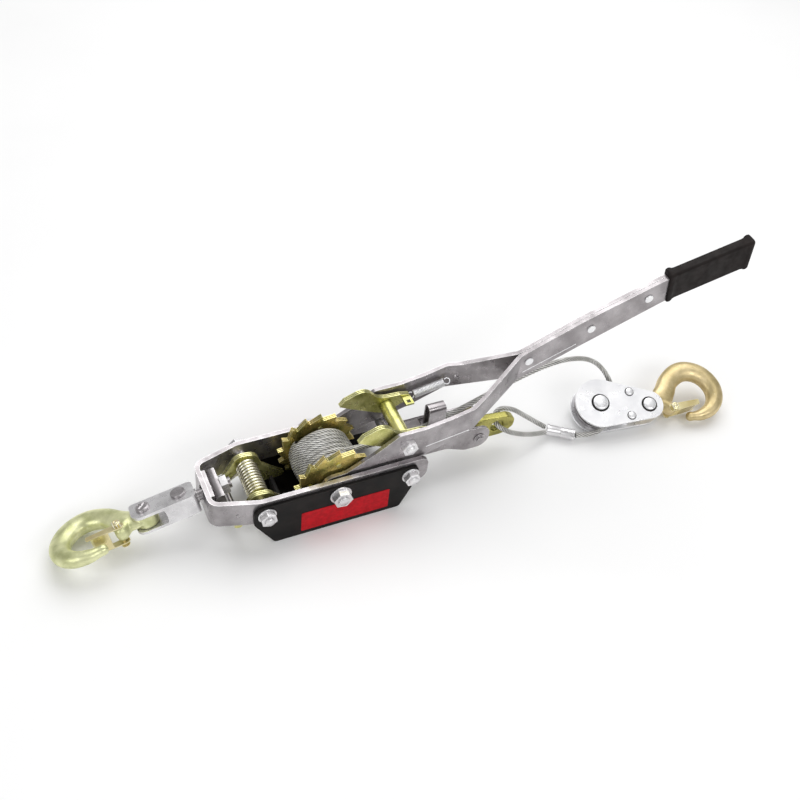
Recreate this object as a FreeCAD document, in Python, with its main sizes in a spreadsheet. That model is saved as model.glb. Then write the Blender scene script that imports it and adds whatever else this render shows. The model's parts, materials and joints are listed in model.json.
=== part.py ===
"""Cable puller (come along winch): double ratchet, cranked lever, swivel hook and pulley block.

Millimetres, +Z up. The origin is on the ground under the drum axle; +X runs from the
frame's closed front towards the lever's grip and +Y runs across, to the far side.
"""
import FreeCAD, Part
import math
import os

V = FreeCAD.Vector
doc = FreeCAD.newDocument("ComeAlongWinch")

# ---------------------------------------------------------------- driving dimensions
SIZES = [
    ("axle_height", 50.0),
    ("strap_half_width", 43.8),
    ("strap_gauge", 5.0),
    ("strap_depth", 34.0),
    ("strap_front", 136.0),
    ("strap_front_half", 30.0),
    ("strap_taper_start", 86.0),
    ("strap_rear", 102.0),
    ("front_bolt_reach", 81.0),
    ("rear_bolt_reach", 80.0),
    ("axle_radius", 6.0),
    ("bolt_radius", 5.0),
    ("running_gap", 0.05),
    ("guard_gauge", 3.4),
    ("guard_top", 12.0),
    ("label_gauge", 0.4),
    ("wheel_teeth", 16),
    ("wheel_tip_radius", 45.0),
    ("wheel_root_radius", 38.0),
    ("wheel_inner_face", 23.9),
    ("wheel_gauge", 6.0),
    ("wheel_phase", 128.5),
    ("core_radius", 15.0),
    ("shoulder_radius", 13.0),
    ("winding_radius", 33.0),
    ("rope_diameter", 6.0),
    ("arm_inner_face", 32.0),
    ("arm_gauge", 4.4),
    ("grip_half_width", 8.0),
    ("lever_bolt_across", 78.6),
    ("lever_bolt_up", 37.2),
    ("tube_radius", 8.0),
    ("holding_release", 8.0),
    ("drive_release", 19.0),
    ("rocker_radius", 8.7),
    ("rocker_setback", 118.0),
    ("rocker_rise", 6.5),
    ("front_droop", 12.5),
    ("front_roll", 18.0),
    ("stud_radius", 6.0),
    ("yoke_gap", 16.0),
    ("yoke_gauge", 3.0),
    ("yoke_half_width", 14.0),
    ("yoke_pin_reach", 40.0),
    ("hook_rivet_reach", 78.0),
    ("rivet_radius", 6.0),
    ("front_hook_turn", 2.5),
    ("hook_scale", 1.08),
    ("hook_gauge", 18.0),
    ("hook_eye_gauge", 15.0),
    ("block_reach", 345.0),
    ("block_side", -5.5),
    ("block_rise", 22.5),
    ("block_yaw", -18.0),
    ("block_pitch", 3.0),
    ("block_roll", 21.0),
    ("block_gap", 17.0),
    ("block_gauge", 3.0),
    ("block_big_radius", 30.0),
    ("block_small_radius", 17.5),
    ("block_length", 60.5),
    ("sheave_radius", 26.0),
    ("sheave_groove_radius", 20.0),
    ("rear_hook_turn", 18.5),
    ("bracket_inner_face", 15.0),
    ("bracket_gauge", 3.0),
    ("anchor_pin_across", 178.0),
    ("anchor_pin_drop", -8.0),
    ("anchor_pin_radius", 4.0),
]

sheet = doc.addObject("Spreadsheet::Sheet", "Sizes")
for line, (alias, value) in enumerate(SIZES, start=1):
    sheet.set(f"A{line}", alias)
    sheet.set(f"B{line}", str(value))
    sheet.setAlias(f"B{line}", alias)
doc.recompute()


def size(alias):
    """The value of one cell of the sheet."""
    return float(getattr(sheet, alias))


def bind(thing, **sizes):
    """Tie an object's properties to expressions over the sheet's cells."""
    for prop, expression in sizes.items():
        text = str(expression)
        for alias, _ in SIZES:
            text = _with_sheet(text, alias)
        thing.setExpression(prop, text)


def _with_sheet(text, alias):
    """Write Sizes.alias for each whole word alias in the expression."""
    words = []
    word = ""
    for mark in text + " ":
        if mark.isalnum() or mark in "_.":
            word += mark
            continue
        words.append("Sizes." + word if word == alias else word)
        words.append(mark)
        word = ""
    return "".join(words).rstrip()


AXLE = size("axle_height")


# ---------------------------------------------------------------- outlines
def rounded(points, radii=0.0):
    """Lines and arcs of a closed outline: each corner (x, y) gets its radius, 0 for a sharp one."""
    count = len(points)
    if not isinstance(radii, (list, tuple)):
        radii = [radii] * count
    starts, ends, arcs = [], [], []
    for i, (corner, radius) in enumerate(zip(points, radii)):
        here = V(corner[0], corner[1], 0)
        before = V(*points[i - 1], 0) - here
        after = V(*points[(i + 1) % count], 0) - here
        reach_limit = 0.49 * min(before.Length, after.Length)
        before.normalize()
        after.normalize()
        half = before.getAngle(after) / 2
        if radius <= 0 or half > math.radians(89):
            starts.append(here)
            ends.append(here)
            arcs.append(None)
            continue
        reach = min(radius / math.tan(half), reach_limit)
        middle = before + after
        middle.normalize()
        radius = reach * math.tan(half)
        start = here + before * reach
        end = here + after * reach
        crown = here + middle * (radius / math.sin(half) - radius)
        starts.append(start)
        ends.append(end)
        arcs.append(Part.ArcOfCircle(start, crown, end))
    edges = []
    for i in range(count):
        if arcs[i]:
            edges.append(arcs[i])
        following = (i + 1) % count
        if (starts[following] - ends[i]).Length > 1e-6:
            edges.append(Part.LineSegment(ends[i], starts[following]))
    return edges


def above_axle(points):
    """Side-view points given from the axle, moved up to the ground's datum."""
    return [(x, AXLE + z) for x, z in points]


def polar(radius, degrees):
    return (radius * math.cos(math.radians(degrees)), radius * math.sin(math.radians(degrees)))


def turned(point, centre, degrees):
    """A side-view point turned about a centre, anticlockwise as seen from the near side."""
    c, s = math.cos(math.radians(degrees)), math.sin(math.radians(degrees))
    x, z = point[0] - centre[0], point[1] - centre[1]
    return (centre[0] + c * x - s * z, centre[1] + s * x + c * z)


# ---------------------------------------------------------------- solids
def prism(name, plane, edges, length, start=0.0, circles=(), placement=None):
    """A padded sketch. XY pads up from z = start, XZ pads towards +Y from y = start,
    YZ pads towards +X from x = start. circles are (x, y, radius) holes."""
    body = doc.addObject("PartDesign::Body", name)
    sketch = body.newObject("Sketcher::SketchObject", name + "Sketch")
    origin = {f.Role: f for f in body.Origin.OriginFeatures}
    sketch.AttachmentSupport = (origin[plane + "_Plane"], "")
    sketch.MapMode = "FlatFace"
    sketch.addGeometry(list(edges), False)
    for x, y, radius in circles:
        sketch.addGeometry(Part.Circle(V(x, y, 0), V(0, 0, 1), radius), False)
    pad = body.newObject("PartDesign::Pad", name + "Pad")
    pad.Profile = sketch
    bind(pad, Length=length)
    pad.Reversed = plane == "XZ"
    shift = {"XY": V(0, 0, start), "XZ": V(0, start, 0), "YZ": V(start, 0, 0)}[plane]
    body.Placement = (placement or FreeCAD.Placement()) * FreeCAD.Placement(shift, FreeCAD.Rotation())
    return body


def cylinder(name, radius, height, at, axis=(0, 1, 0), placement=None):
    thing = doc.addObject("Part::Cylinder", name)
    bind(thing, Radius=radius, Height=height)
    own = FreeCAD.Placement(V(*at), FreeCAD.Rotation(V(0, 0, 1), V(*axis)))
    thing.Placement = (placement or FreeCAD.Placement()) * own
    return thing


def box(name, low, high, placement=None):
    thing = doc.addObject("Part::Box", name)
    thing.Length, thing.Width, thing.Height = [b - a for a, b in zip(low, high)]
    thing.Placement = (placement or FreeCAD.Placement()) * FreeCAD.Placement(V(*low), FreeCAD.Rotation())
    return thing


def hexagon(name, across, height, at, axis=(0, 1, 0), placement=None, turn=0.0):
    """A six-sided prism of the given width across its flats."""
    thing = doc.addObject("Part::Prism", name)
    thing.Polygon = 6
    thing.Circumradius = across / math.sqrt(3)
    thing.Height = height
    own = FreeCAD.Placement(V(*at), FreeCAD.Rotation(V(0, 0, 1), V(*axis)))
    own = own * FreeCAD.Placement(V(), FreeCAD.Rotation(V(0, 0, 1), turn))
    thing.Placement = (placement or FreeCAD.Placement()) * own
    return thing


def ring(name, outer, inner, height, at, axis=(0, 1, 0), placement=None):
    return cut(
        name,
        cylinder(name + "Outer", outer, height, at, axis, placement),
        cylinder(name + "Inner", inner, height, at, axis, placement),
    )


def cut(name, base, *tools):
    if len(tools) > 1:
        tools = [fuse(name + "Tools", *tools)]
    thing = doc.addObject("Part::Cut", name)
    thing.Base, thing.Tool = base, tools[0]
    return thing


def fuse(name, *shapes):
    thing = doc.addObject("Part::MultiFuse", name)
    thing.Shapes = list(shapes)
    return thing


def common(name, base, tool):
    thing = doc.addObject("Part::Common", name)
    thing.Base, thing.Tool = base, tool
    return thing


def group(name, *pieces):
    """Several separate solids kept as one sub-part."""
    thing = doc.addObject("Part::Compound", name)
    thing.Links = list(pieces)
    return thing


NODES = {}


def node(label, thing):
    """Name a finished sub-part; its label names its file."""
    thing.Label = label
    NODES[label] = thing
    return thing


def both_sides(build):
    """Near (-1) and far (+1) pieces of a symmetrical pair."""
    return [build(-1), build(1)]


def slab_start(side, inner, gauge):
    """Where a plate starts in y, when it spans inner..inner + gauge on one side."""
    return inner if side > 0 else -inner - gauge


# ---------------------------------------------------------------- frame
half = size("strap_half_width")
gauge = size("strap_gauge")
front = size("strap_front")
nose = size("strap_front_half")
taper = size("strap_taper_start")
rear = size("strap_rear")
front_bolt = (-size("front_bolt_reach"), AXLE)
rear_bolt = (size("rear_bolt_reach"), AXLE)
axle = (0.0, AXLE)
axle_r = size("axle_radius")
bolt_r = size("bolt_radius")
gap = size("running_gap")
depth = size("strap_depth")

strap_plan = [
    (rear, half), (-taper, half), (-front, nose), (-front, -nose), (-taper, -half), (rear, -half),
    (rear, gauge - half), (-taper + 0.7, gauge - half), (-front + gauge, 4 - nose),
    (-front + gauge, nose - 4), (-taper + 0.7, half - gauge), (rear, half - gauge),
]
strap_radii = [0, 30, 13, 13, 30, 0, 0, 25, 8, 8, 25, 0]
strap_bar = prism("StrapBar", "XY", rounded(strap_plan, strap_radii), "strap_depth", AXLE - depth / 2)
strap_side = prism(
    "StrapSide", "XZ",
    rounded(above_axle([(-front - 1, -depth / 2), (rear, -depth / 2), (rear, depth / 2), (-front - 1, depth / 2)]),
            [0, 13, 9, 0]),
    "2 * strap_half_width + 2", -half - 1,
    [(front_bolt[0], AXLE, bolt_r), (0, AXLE, axle_r), (rear_bolt[0], AXLE, bolt_r)],
)
slot_low, slot_high = AXLE - 4.4, AXLE + 13.6
front_slot = fuse(
    "FrontSlot",
    box("FrontSlotMiddle", (-front - 2, -6.8, slot_low + 6.8), (-front + 12, 6.8, slot_high - 6.8)),
    cylinder("FrontSlotLow", "6.8", "14", (-front - 2, 0, slot_low + 6.8), (1, 0, 0)),
    cylinder("FrontSlotHigh", "6.8", "14", (-front - 2, 0, slot_high - 6.8), (1, 0, 0)),
)
node("frame_strap", cut("Strap", common("StrapBlank", strap_bar, strap_side), front_slot))

backing = box("BackingBlank", (-front + gauge, -18, AXLE - 14), (-front + gauge + 4, 18, AXLE + 16.5))
node("front_backing_plate", cut("BackingPlate", backing, front_slot))

# The guard is one folded sheet: two flanks outside the strap and a floor between them.
flank_outline = rounded(
    above_axle([(-95, 12), (-95, -12), (-72, -50), (71, -50), (84, -21), (91, 12)]),
    [13, 13, 5, 5, 6, 7],
)
guard_holes = [(front_bolt[0], AXLE, bolt_r), (0, AXLE, axle_r), (rear_bolt[0], AXLE, bolt_r)]
flanks = both_sides(lambda side: prism(
    "FlankNear" if side < 0 else "FlankFar", "XZ", flank_outline, "guard_gauge",
    slab_start(side, half, size("guard_gauge")), guard_holes))
guard_floor = box("GuardFloor", (-66, -half - 0.2, 0), (52, half + 0.2, 3))
node("drum_guard", fuse("Guard", *flanks, guard_floor))
guard_face = half + size("guard_gauge")
node("guard_cross_bar", box("CrossBar", (-56, -19, 3), (-52, 19, AXLE - 24)))

label_outline = rounded(above_axle([(-43, -14), (-43, -44), (57, -44), (57, -14)]), 1.5)
node("side_labels", group("Labels", *both_sides(lambda side: prism(
    "LabelNear" if side < 0 else "LabelFar", "XZ", label_outline, "label_gauge",
    slab_start(side, guard_face, size("label_gauge")),))))

# ---------------------------------------------------------------- bolts through the frame
washer_face = guard_face + 1.5


def through_bolt(name, at, radius, across, head):
    """A bolt with its head on the far side and its threaded end beyond the near nut."""
    shank = cylinder(name + "Shank", radius, str(2 * washer_face + 9.5), (at[0], -washer_face - 9.5, at[1]))
    return fuse(name, shank, hexagon(name + "Head", across, head, (at[0], washer_face, at[1]), turn=15))


def washers_at(name, at, radius, outer):
    near = ring(name + "Near", outer, radius, "1.5", (at[0], -washer_face, at[1]))
    far = ring(name + "Far", outer, radius, "1.5", (at[0], guard_face, at[1]))
    return [near, far]


def nut(name, radius, across, height, at, axis=(0, 1, 0), placement=None, turn=0.0):
    blank = hexagon(name + "Blank", across, height, at, axis, placement, turn)
    return cut(name, blank, cylinder(name + "Bore", radius, str(height), at, axis, placement))


node("drum_axle_bolt", through_bolt("AxleBolt", axle, "axle_radius", 19, 7.5))
node("drum_axle_nut", nut("AxleNut", "axle_radius", 19, 7.6, (0, -washer_face - 7.6, AXLE), turn=8))
node("frame_bolts", group(
    "FrameBolts",
    through_bolt("FrontBolt", front_bolt, "bolt_radius", 16, 6.4),
    through_bolt("RearBolt", rear_bolt, "bolt_radius", 16, 6.4)))
node("frame_bolt_nuts", group(
    "FrameBoltNuts",
    nut("FrontNut", "bolt_radius", 16, 7, (front_bolt[0], -washer_face - 7, AXLE), turn=20),
    nut("RearNut", "bolt_radius", 16, 7, (rear_bolt[0], -washer_face - 7, AXLE), turn=5)))
node("frame_washers", group(
    "FrameWashers",
    *washers_at("AxleWasher", axle, "axle_radius", "12"),
    *washers_at("FrontWasher", front_bolt, "bolt_radius", "10"),
    *washers_at("RearWasher", rear_bolt, "bolt_radius", "10")))

bracket_inner = size("bracket_inner_face")
bracket_outer = bracket_inner + size("bracket_gauge")
spacer_start = bracket_outer + 0.3
node("rear_spacers", group("RearSpacers", *both_sides(lambda side: ring(
    "RearSpacerNear" if side < 0 else "RearSpacerFar", "6.5", "bolt_radius", str(half - gauge - spacer_start),
    (rear_bolt[0], spacer_start if side > 0 else gauge - half, AXLE)))))

# ---------------------------------------------------------------- drum and ratchet wheels
teeth = int(size("wheel_teeth"))
pitch = 360.0 / teeth
phase = size("wheel_phase")
tip_r = size("wheel_tip_radius")
root_r = size("wheel_root_radius")
wheel_in = size("wheel_inner_face")
wheel_t = size("wheel_gauge")
shoulder_r = size("shoulder_radius")
UNDERCUT = 2.2

wheel_points = []
for k in range(teeth):
    wheel_points.append(polar(tip_r, phase - k * pitch))
    wheel_points.append(polar(root_r, phase - k * pitch - UNDERCUT))
wheel_outline = rounded(above_axle(wheel_points), [0.5, 1.2] * teeth)
rivet_spots = [polar(27.0, phase + 45 + 90 * k) for k in range(4)]
wheel_holes = [(0, AXLE, shoulder_r)] + [(x, AXLE + z, 2.5) for x, z in rivet_spots]
for side, name in ((-1, "ratchet_wheel_near"), (1, "ratchet_wheel_far")):
    node(name, prism("Wheel" + name[-4:].title().strip("_"), "XZ", wheel_outline, "wheel_gauge",
                     slab_start(side, wheel_in, wheel_t), wheel_holes))
node("wheel_rivets", group("WheelRivets", *[
    cylinder(f"WheelRivet{k}{'N' if side < 0 else 'F'}", "2.5", "wheel_gauge + 1",
             (x, slab_start(side, wheel_in, wheel_t) - (1 if side < 0 else 0), AXLE + z))
    for side in (-1, 1) for k, (x, z) in enumerate(rivet_spots)]))

core_end = wheel_in + wheel_t + 0.6
node("drum_core", cut(
    "DrumCore",
    fuse("DrumCoreBlank",
         cylinder("DrumBarrel", "core_radius", "2 * wheel_inner_face", (0, -wheel_in, AXLE)),
         cylinder("DrumShoulder", "shoulder_radius", str(2 * core_end), (0, -core_end, AXLE))),
    cylinder("DrumBore", "axle_radius + running_gap", str(2 * core_end), (0, -core_end, AXLE))))
winding_end = wheel_in - 0.4
node("rope_winding", ring("Winding", "winding_radius", "core_radius", str(2 * winding_end), (0, -winding_end, AXLE)))

# ---------------------------------------------------------------- holding pawl, under the front bolt
# Drawn seated in the teeth below the axle line, then turned back to its released rest.
pivot = (front_bolt[0], 0.0)
seat_tooth = phase + 4 * pitch
root_point = polar(root_r, seat_tooth - UNDERCUT)
tip_point = polar(tip_r, seat_tooth)
face = V(tip_point[0] - root_point[0], tip_point[1] - root_point[1], 0)
face.normalize()
bite = (root_point[0] - 2.0, root_point[1] - 1.1)
heel = (bite[0] + 6.5 * face.x, bite[1] + 6.5 * face.y)
seated = [bite, heel, (-58, -33), (-77, -14.5), (-88, -17), (-95, -24), (-98, -36), (-106, -36),
          (-106, -22), (-99, -3), (-92, 13.5), (-70, 13.5), (-62, -4), (-45, -16)]
holding_radii = [0.6, 2, 10, 4, 6, 8, 3, 3, 8, 8, 12, 12, 8, 6]
holding_turn = size("holding_release")
holding_points = above_axle([turned(p, pivot, -holding_turn) for p in seated])
for side, name in ((-1, "holding_pawl_near"), (1, "holding_pawl_far")):
    node(name, prism("Holding" + ("Near" if side < 0 else "Far"), "XZ", rounded(holding_points, holding_radii),
                     "wheel_gauge", slab_start(side, wheel_in, wheel_t),
                     [(front_bolt[0], AXLE, bolt_r + gap)]))
node("holding_pawl_tube", ring("HoldingTube", "tube_radius", "bolt_radius + running_gap",
                               "2 * wheel_inner_face", (front_bolt[0], -wheel_in, AXLE)))
node("holding_pawl_spring", ring("HoldingSpring", "11.6", "tube_radius + 0.3", "45", (front_bolt[0], -22.5, AXLE)))
bar_at = turned((-101.5, -27), pivot, -holding_turn)
node("holding_pawl_release_bar", cylinder("ReleaseBar", "3", "2 * wheel_inner_face",
                                          (bar_at[0], -wheel_in, AXLE + bar_at[1])))

# ---------------------------------------------------------------- lever: two cranked arms and a grip
arm_in = size("arm_inner_face")
arm_t = size("arm_gauge")
bolt_at = (size("lever_bolt_across"), size("lever_bolt_up"))
JOINED = 0.15
CRANK_START, CRANK_END = 152.0, 220.0
ARM_END = 485.0
spring_hole = (163.0, 52.0)
arm_side = [
    (-17, -17), (10, -17), (62, 4), (80, 10), (108, 17), (168, 40), (236, 64), (292, 87), (392, 126),
    (ARM_END, 150), (ARM_END, 176), (386, 158), (290, 124), (236, 101), (166, 70), (128, 60),
    (98, 55), (68, 55), (44, 38), (10, 18), (-17, 17),
]
arm_side_radii = [15, 20, 20, 12, 20, 40, 40, 40, 60, 8, 8, 60, 40, 40, 40, 20, 8, 8, 12, 20, 15]
lever_rivet_spots = [(231.0, 84.0), (303.0, 111.0), (370.0, 136.5)]


def arm(side):
    """One arm: its plan makes the crank and its side view makes the edge shape."""
    inner, outer = side * arm_in, side * (arm_in + arm_t)
    low, high = side * JOINED, side * (JOINED + arm_t)
    plan = [
        (-20, inner), (CRANK_START, inner), (CRANK_END - 1, low), (ARM_END + 1, low),
        (ARM_END + 1, high), (CRANK_END + 1, high), (CRANK_START + 2, outer), (-20, outer),
    ]
    name = "ArmNear" if side < 0 else "ArmFar"
    strip = prism(name + "Plan", "XY", rounded(plan, [0, 9, 13, 0, 0, 9, 13, 0]), "240", AXLE - 20)
    flat = prism(
        name + "Side", "XZ", rounded(above_axle(arm_side), arm_side_radii), "90", -45,
        [(0, AXLE, axle_r + gap), (bolt_at[0], AXLE + bolt_at[1], bolt_r)]
        + [(x, AXLE + z, 3.5) for x, z in lever_rivet_spots]
        + ([(spring_hole[0], AXLE + spring_hole[1], 2.2)] if side > 0 else []))
    return common(name, strip, flat)


arms = both_sides(arm)
node("lever_arm_near", arms[0])
node("lever_arm_far", arms[1])
rivet_end = JOINED + arm_t + 1.6
node("lever_rivets", group("LeverRivets", *[
    fuse(f"LeverRivet{k}",
         cylinder(f"LeverRivetShank{k}", "3.5", str(2 * rivet_end), (x, -rivet_end, AXLE + z)),
         cylinder(f"LeverRivetHeadN{k}", "5", "1.6", (x, -rivet_end, AXLE + z)),
         cylinder(f"LeverRivetHeadF{k}", "5", "1.6", (x, rivet_end - 1.6, AXLE + z)))
    for k, (x, z) in enumerate(lever_rivet_spots)]))

grip_w = size("grip_half_width")
grip_side = [(396, 124.5), (403, 126), (488, 147.5), (496, 148.5), (493, 190), (486, 188), (398, 167), (390, 166)]
grip_blank = prism("GripBlank", "XZ", rounded(above_axle(grip_side), [4, 10, 10, 4, 4, 10, 10, 4]),
                   "2 * grip_half_width", -grip_w)
grip_core = prism("GripCore", "XZ", rounded(above_axle(arm_side), arm_side_radii),
                  str(2 * (JOINED + arm_t)), -JOINED - arm_t)
node("hand_grip", cut("Grip", grip_blank, grip_core))

lever_nut_face = arm_in + arm_t
node("drive_pawl_bolt", fuse(
    "DriveBolt",
    cylinder("DriveBoltShank", "bolt_radius", str(2 * lever_nut_face + 9.5),
             (bolt_at[0], -lever_nut_face - 9.5, AXLE + bolt_at[1])),
    hexagon("DriveBoltHead", 16, 6.4, (bolt_at[0], lever_nut_face, AXLE + bolt_at[1]), turn=12)))
node("drive_pawl_nut", nut("DriveNut", "bolt_radius", 16, 7, (bolt_at[0], -lever_nut_face - 7, AXLE + bolt_at[1]),
                           turn=10))

# ---------------------------------------------------------------- drive pawl, on the lever
# Drawn seated behind a tooth, then turned up to its released rest.
push_tooth = phase - 3 * pitch
root_point = polar(root_r, push_tooth - UNDERCUT)
tip_point = polar(tip_r, push_tooth)
face = V(tip_point[0] - root_point[0], tip_point[1] - root_point[1], 0)
face.normalize()
bite = (root_point[0] + 2.0, root_point[1] + 1.4)
brow = (bite[0] + 9.5 * face.x, bite[1] + 9.5 * face.y)
driven = [bite, (37, 31), (60, 27.5), (72, 25.5), (86, 25.5), (93, 36), (104, 46), (103, 54), (90, 53),
          (76, 49), (64, 47.5), (44, 60), brow]
drive_radii = [0.6, 10, 20, 10, 10, 10, 3, 3, 6, 8, 18, 22, 1]
drive_turn = size("drive_release")
drive_points = above_axle([turned(p, bolt_at, -drive_turn) for p in driven])
for side, name in ((-1, "drive_pawl_near"), (1, "drive_pawl_far")):
    node(name, prism("Drive" + ("Near" if side < 0 else "Far"), "XZ", rounded(drive_points, drive_radii),
                     "wheel_gauge", slab_start(side, wheel_in, wheel_t),
                     [(bolt_at[0], AXLE + bolt_at[1], bolt_r + gap)]))
node("drive_pawl_tube", ring("DriveTube", "tube_radius", "bolt_radius + running_gap", "2 * wheel_inner_face",
                             (bolt_at[0], -wheel_in, AXLE + bolt_at[1])))
tab_at = turned((98.5, 50), bolt_at, -drive_turn)
tab = box("TabBlank", (tab_at[0] - 5, 12, AXLE + tab_at[1] - 1.3), (tab_at[0] + 5, wheel_in, AXLE + tab_at[1] + 1.3))
tab_hole = box("TabHole", (tab_at[0] - 2, 14.5, AXLE + tab_at[1] - 3), (tab_at[0] + 2, 18.5, AXLE + tab_at[1] + 3))
node("drive_pawl_tab", cut("Tab", tab, tab_hole))

# The spring pulls the pawl's tail towards a hole in the far arm.
spring_side = 25.5
tail_end = turned((103.5, 50.5), bolt_at, -drive_turn)
spring_from = V(tail_end[0] + 2.5, spring_side, AXLE + tail_end[1])
spring_to = V(spring_hole[0] - 13.0, spring_side, AXLE + spring_hole[1] - 2.0)
spring_run = spring_to - spring_from
node("drive_pawl_spring", cylinder("DriveSpring", "4.8", str(round(spring_run.Length, 3)),
                                   tuple(spring_from), tuple(spring_run)))

# ---------------------------------------------------------------- anchor bracket on the rear bolt
pin_at = (size("anchor_pin_across"), size("anchor_pin_drop"))
bracket_side = [(68, 12), (68, -12), (94, -12), (138, -12), (162, -23), (190, -23), (191, 8), (165, 10), (120, 12)]
bracket_edges = rounded(above_axle(bracket_side), [12, 12, 8, 20, 14, 14, 14, 10, 20])
pin_r = size("anchor_pin_radius")
node("anchor_bracket_plates", group("BracketPlates", *both_sides(lambda side: prism(
    "BracketNear" if side < 0 else "BracketFar", "XZ", bracket_edges, "bracket_gauge",
    slab_start(side, bracket_inner, size("bracket_gauge")),
    [(rear_bolt[0], AXLE, bolt_r + gap), (pin_at[0], AXLE + pin_at[1], pin_r)]))))

GUIDE_FROM, GUIDE_TO = 117.0, 137.0
GUIDE_TOP = AXLE + 46.5
guide_edges = rounded(
    [(-bracket_inner, AXLE + 7), (bracket_inner, AXLE + 7), (bracket_inner, AXLE + 9.5), (6.5, AXLE + 9.5),
     (6.5, GUIDE_TOP), (-6.5, GUIDE_TOP), (-6.5, AXLE + 9.5), (-bracket_inner, AXLE + 9.5)],
    [0, 0, 0, 2, 6, 6, 2, 0])
guide_window = rounded([(-4.5, AXLE + 9.5), (4.5, AXLE + 9.5), (4.5, GUIDE_TOP - 2), (-4.5, GUIDE_TOP - 2)], [1, 1, 4, 4])
node("rope_guide", prism("Guide", "YZ", guide_edges + guide_window, str(GUIDE_TO - GUIDE_FROM), GUIDE_FROM))
node("anchor_pin", fuse(
    "AnchorPin",
    cylinder("AnchorPinShank", "anchor_pin_radius", "44", (pin_at[0], -22, AXLE + pin_at[1])),
    cylinder("AnchorPinHead", "6.5", "2.5", (pin_at[0], bracket_outer, AXLE + pin_at[1])),
    cylinder("AnchorPinWasher", "6.5", "1.5", (pin_at[0], -bracket_outer - 1.5, AXLE + pin_at[1]))))

eye_centre = (208.0, -13.0)
EYE_RADIUS = 8.0
hook_side = [(167, 0), (170, -19), (190, -25), (200, -29), (218, -29), (230, -20), (231, -8), (222, -2),
             (200, 1), (188, 3)]
node("anchor_hook", prism(
    "AnchorHook", "XZ", rounded(above_axle(hook_side), [8, 8, 8, 8, 10, 6, 6, 8, 8, 8]), "10", -5,
    [(pin_at[0], AXLE + pin_at[1], pin_r + gap), (eye_centre[0], AXLE + eye_centre[1], EYE_RADIUS)]))


# ---------------------------------------------------------------- swivel, yoke and front hook
def local_frame(origin, forward, roll_about_forward):
    """Placement whose x runs along forward and whose z is up, rolled about x."""
    x = V(*forward)
    x.normalize()
    side = V(0, 0, 1).cross(x)
    side.normalize()
    up = x.cross(side)
    turn = FreeCAD.Rotation(x, side, up, "XZY")
    roll = FreeCAD.Rotation(V(1, 0, 0), roll_about_forward)
    return FreeCAD.Placement(V(*origin), turn * roll)


droop = math.radians(size("front_droop"))
rocker_at = (-size("rocker_setback"), 0.0, AXLE + size("rocker_rise"))
front_axis = (-math.cos(droop), 0.0, -math.sin(droop))
level = local_frame(rocker_at, front_axis, 0.0)
swivel = local_frame(rocker_at, front_axis, size("front_roll"))

rocker_bar = cylinder("RockerBar", "rocker_radius", "38", (0, -19, 0), (0, 1, 0), level)
rocker_flat = box("RockerFlat", (-12, -20, -12), (-3, 20, 12), level)
rocker_bore = cylinder("RockerBore", "stud_radius + running_gap", "30", (-15, 0, 0), (1, 0, 0), level)
node("swivel_rocker", cut("Rocker", rocker_bar, rocker_flat, rocker_bore))

reach = size("yoke_pin_reach")
eye_half = size("yoke_gap") / 2 - 0.4
node("swivel_stud", cut(
    "Stud",
    fuse("StudBlank",
         cylinder("StudShank", "stud_radius", str(reach - 2 + 14), (-14, 0, 0), (1, 0, 0), swivel),
         cylinder("StudCollar", "7.8", "3", (22.5, 0, 0), (1, 0, 0), swivel),
         cylinder("StudEye", "9.5", str(2 * eye_half), (reach, 0, -eye_half), (0, 0, 1), swivel)),
    cylinder("StudBore", "bolt_radius + running_gap", "30", (reach, 0, -15), (0, 0, 1), swivel)))
node("swivel_nut", nut("SwivelNut", "stud_radius", 19, 7.5, (-10.8, 0, 0), (1, 0, 0), swivel))

yoke_w = size("yoke_half_width")
yoke_inner = size("yoke_gap") / 2
yoke_outer = yoke_inner + size("yoke_gauge")
rivet_reach = size("hook_rivet_reach")
YOKE_FROM = 24.0
yoke_plan = rounded([(YOKE_FROM, -yoke_w), (rivet_reach + 14, -yoke_w), (rivet_reach + 14, yoke_w), (YOKE_FROM, yoke_w)],
                    [5, 4, 10, 4])
yoke_blank = prism("YokeBlank", "XY", yoke_plan, "yoke_gap + 2 * yoke_gauge", -yoke_outer,
                   [(reach, 0, bolt_r), (rivet_reach, 0, size("rivet_radius"))], swivel)
yoke_hollow = box("YokeHollow", (20, -yoke_w - 2, -yoke_inner), (rivet_reach + 20, yoke_w - 3, yoke_inner), swivel)
yoke_arch = cylinder("YokeArch", "34", "8", (92, yoke_w - 5, 0), (0, 1, 0), swivel)
arch_limit = box("YokeArchLimit", (50, yoke_w - 4, -yoke_inner), (130, yoke_w + 2, yoke_inner), swivel)
node("hook_yoke", cut("Yoke", yoke_blank, yoke_hollow, common("YokeArchCut", yoke_arch, arch_limit)))
node("yoke_pin_bolt", fuse(
    "YokePin",
    cylinder("YokePinShank", "bolt_radius", str(2 * yoke_outer + 8), (reach, 0, -yoke_outer - 8), (0, 0, 1), swivel),
    cylinder("YokePinHead", "8", "3.2", (reach, 0, yoke_outer), (0, 0, 1), swivel)))
node("yoke_pin_nut", nut("YokePinNut", "bolt_radius", 15, 6, (reach, 0, -yoke_outer - 6), (0, 0, 1), swivel))
node("hook_rivet", fuse(
    "HookRivet",
    cylinder("HookRivetShank", "rivet_radius", str(2 * yoke_outer), (rivet_reach, 0, -yoke_outer), (0, 0, 1), swivel),
    cylinder("HookRivetTop", "7.5", "3.2", (rivet_reach, 0, yoke_outer), (0, 0, 1), swivel),
    cylinder("HookRivetFoot", "7.5", "3.2", (rivet_reach, 0, -yoke_outer - 3.2), (0, 0, 1), swivel)))

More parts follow.
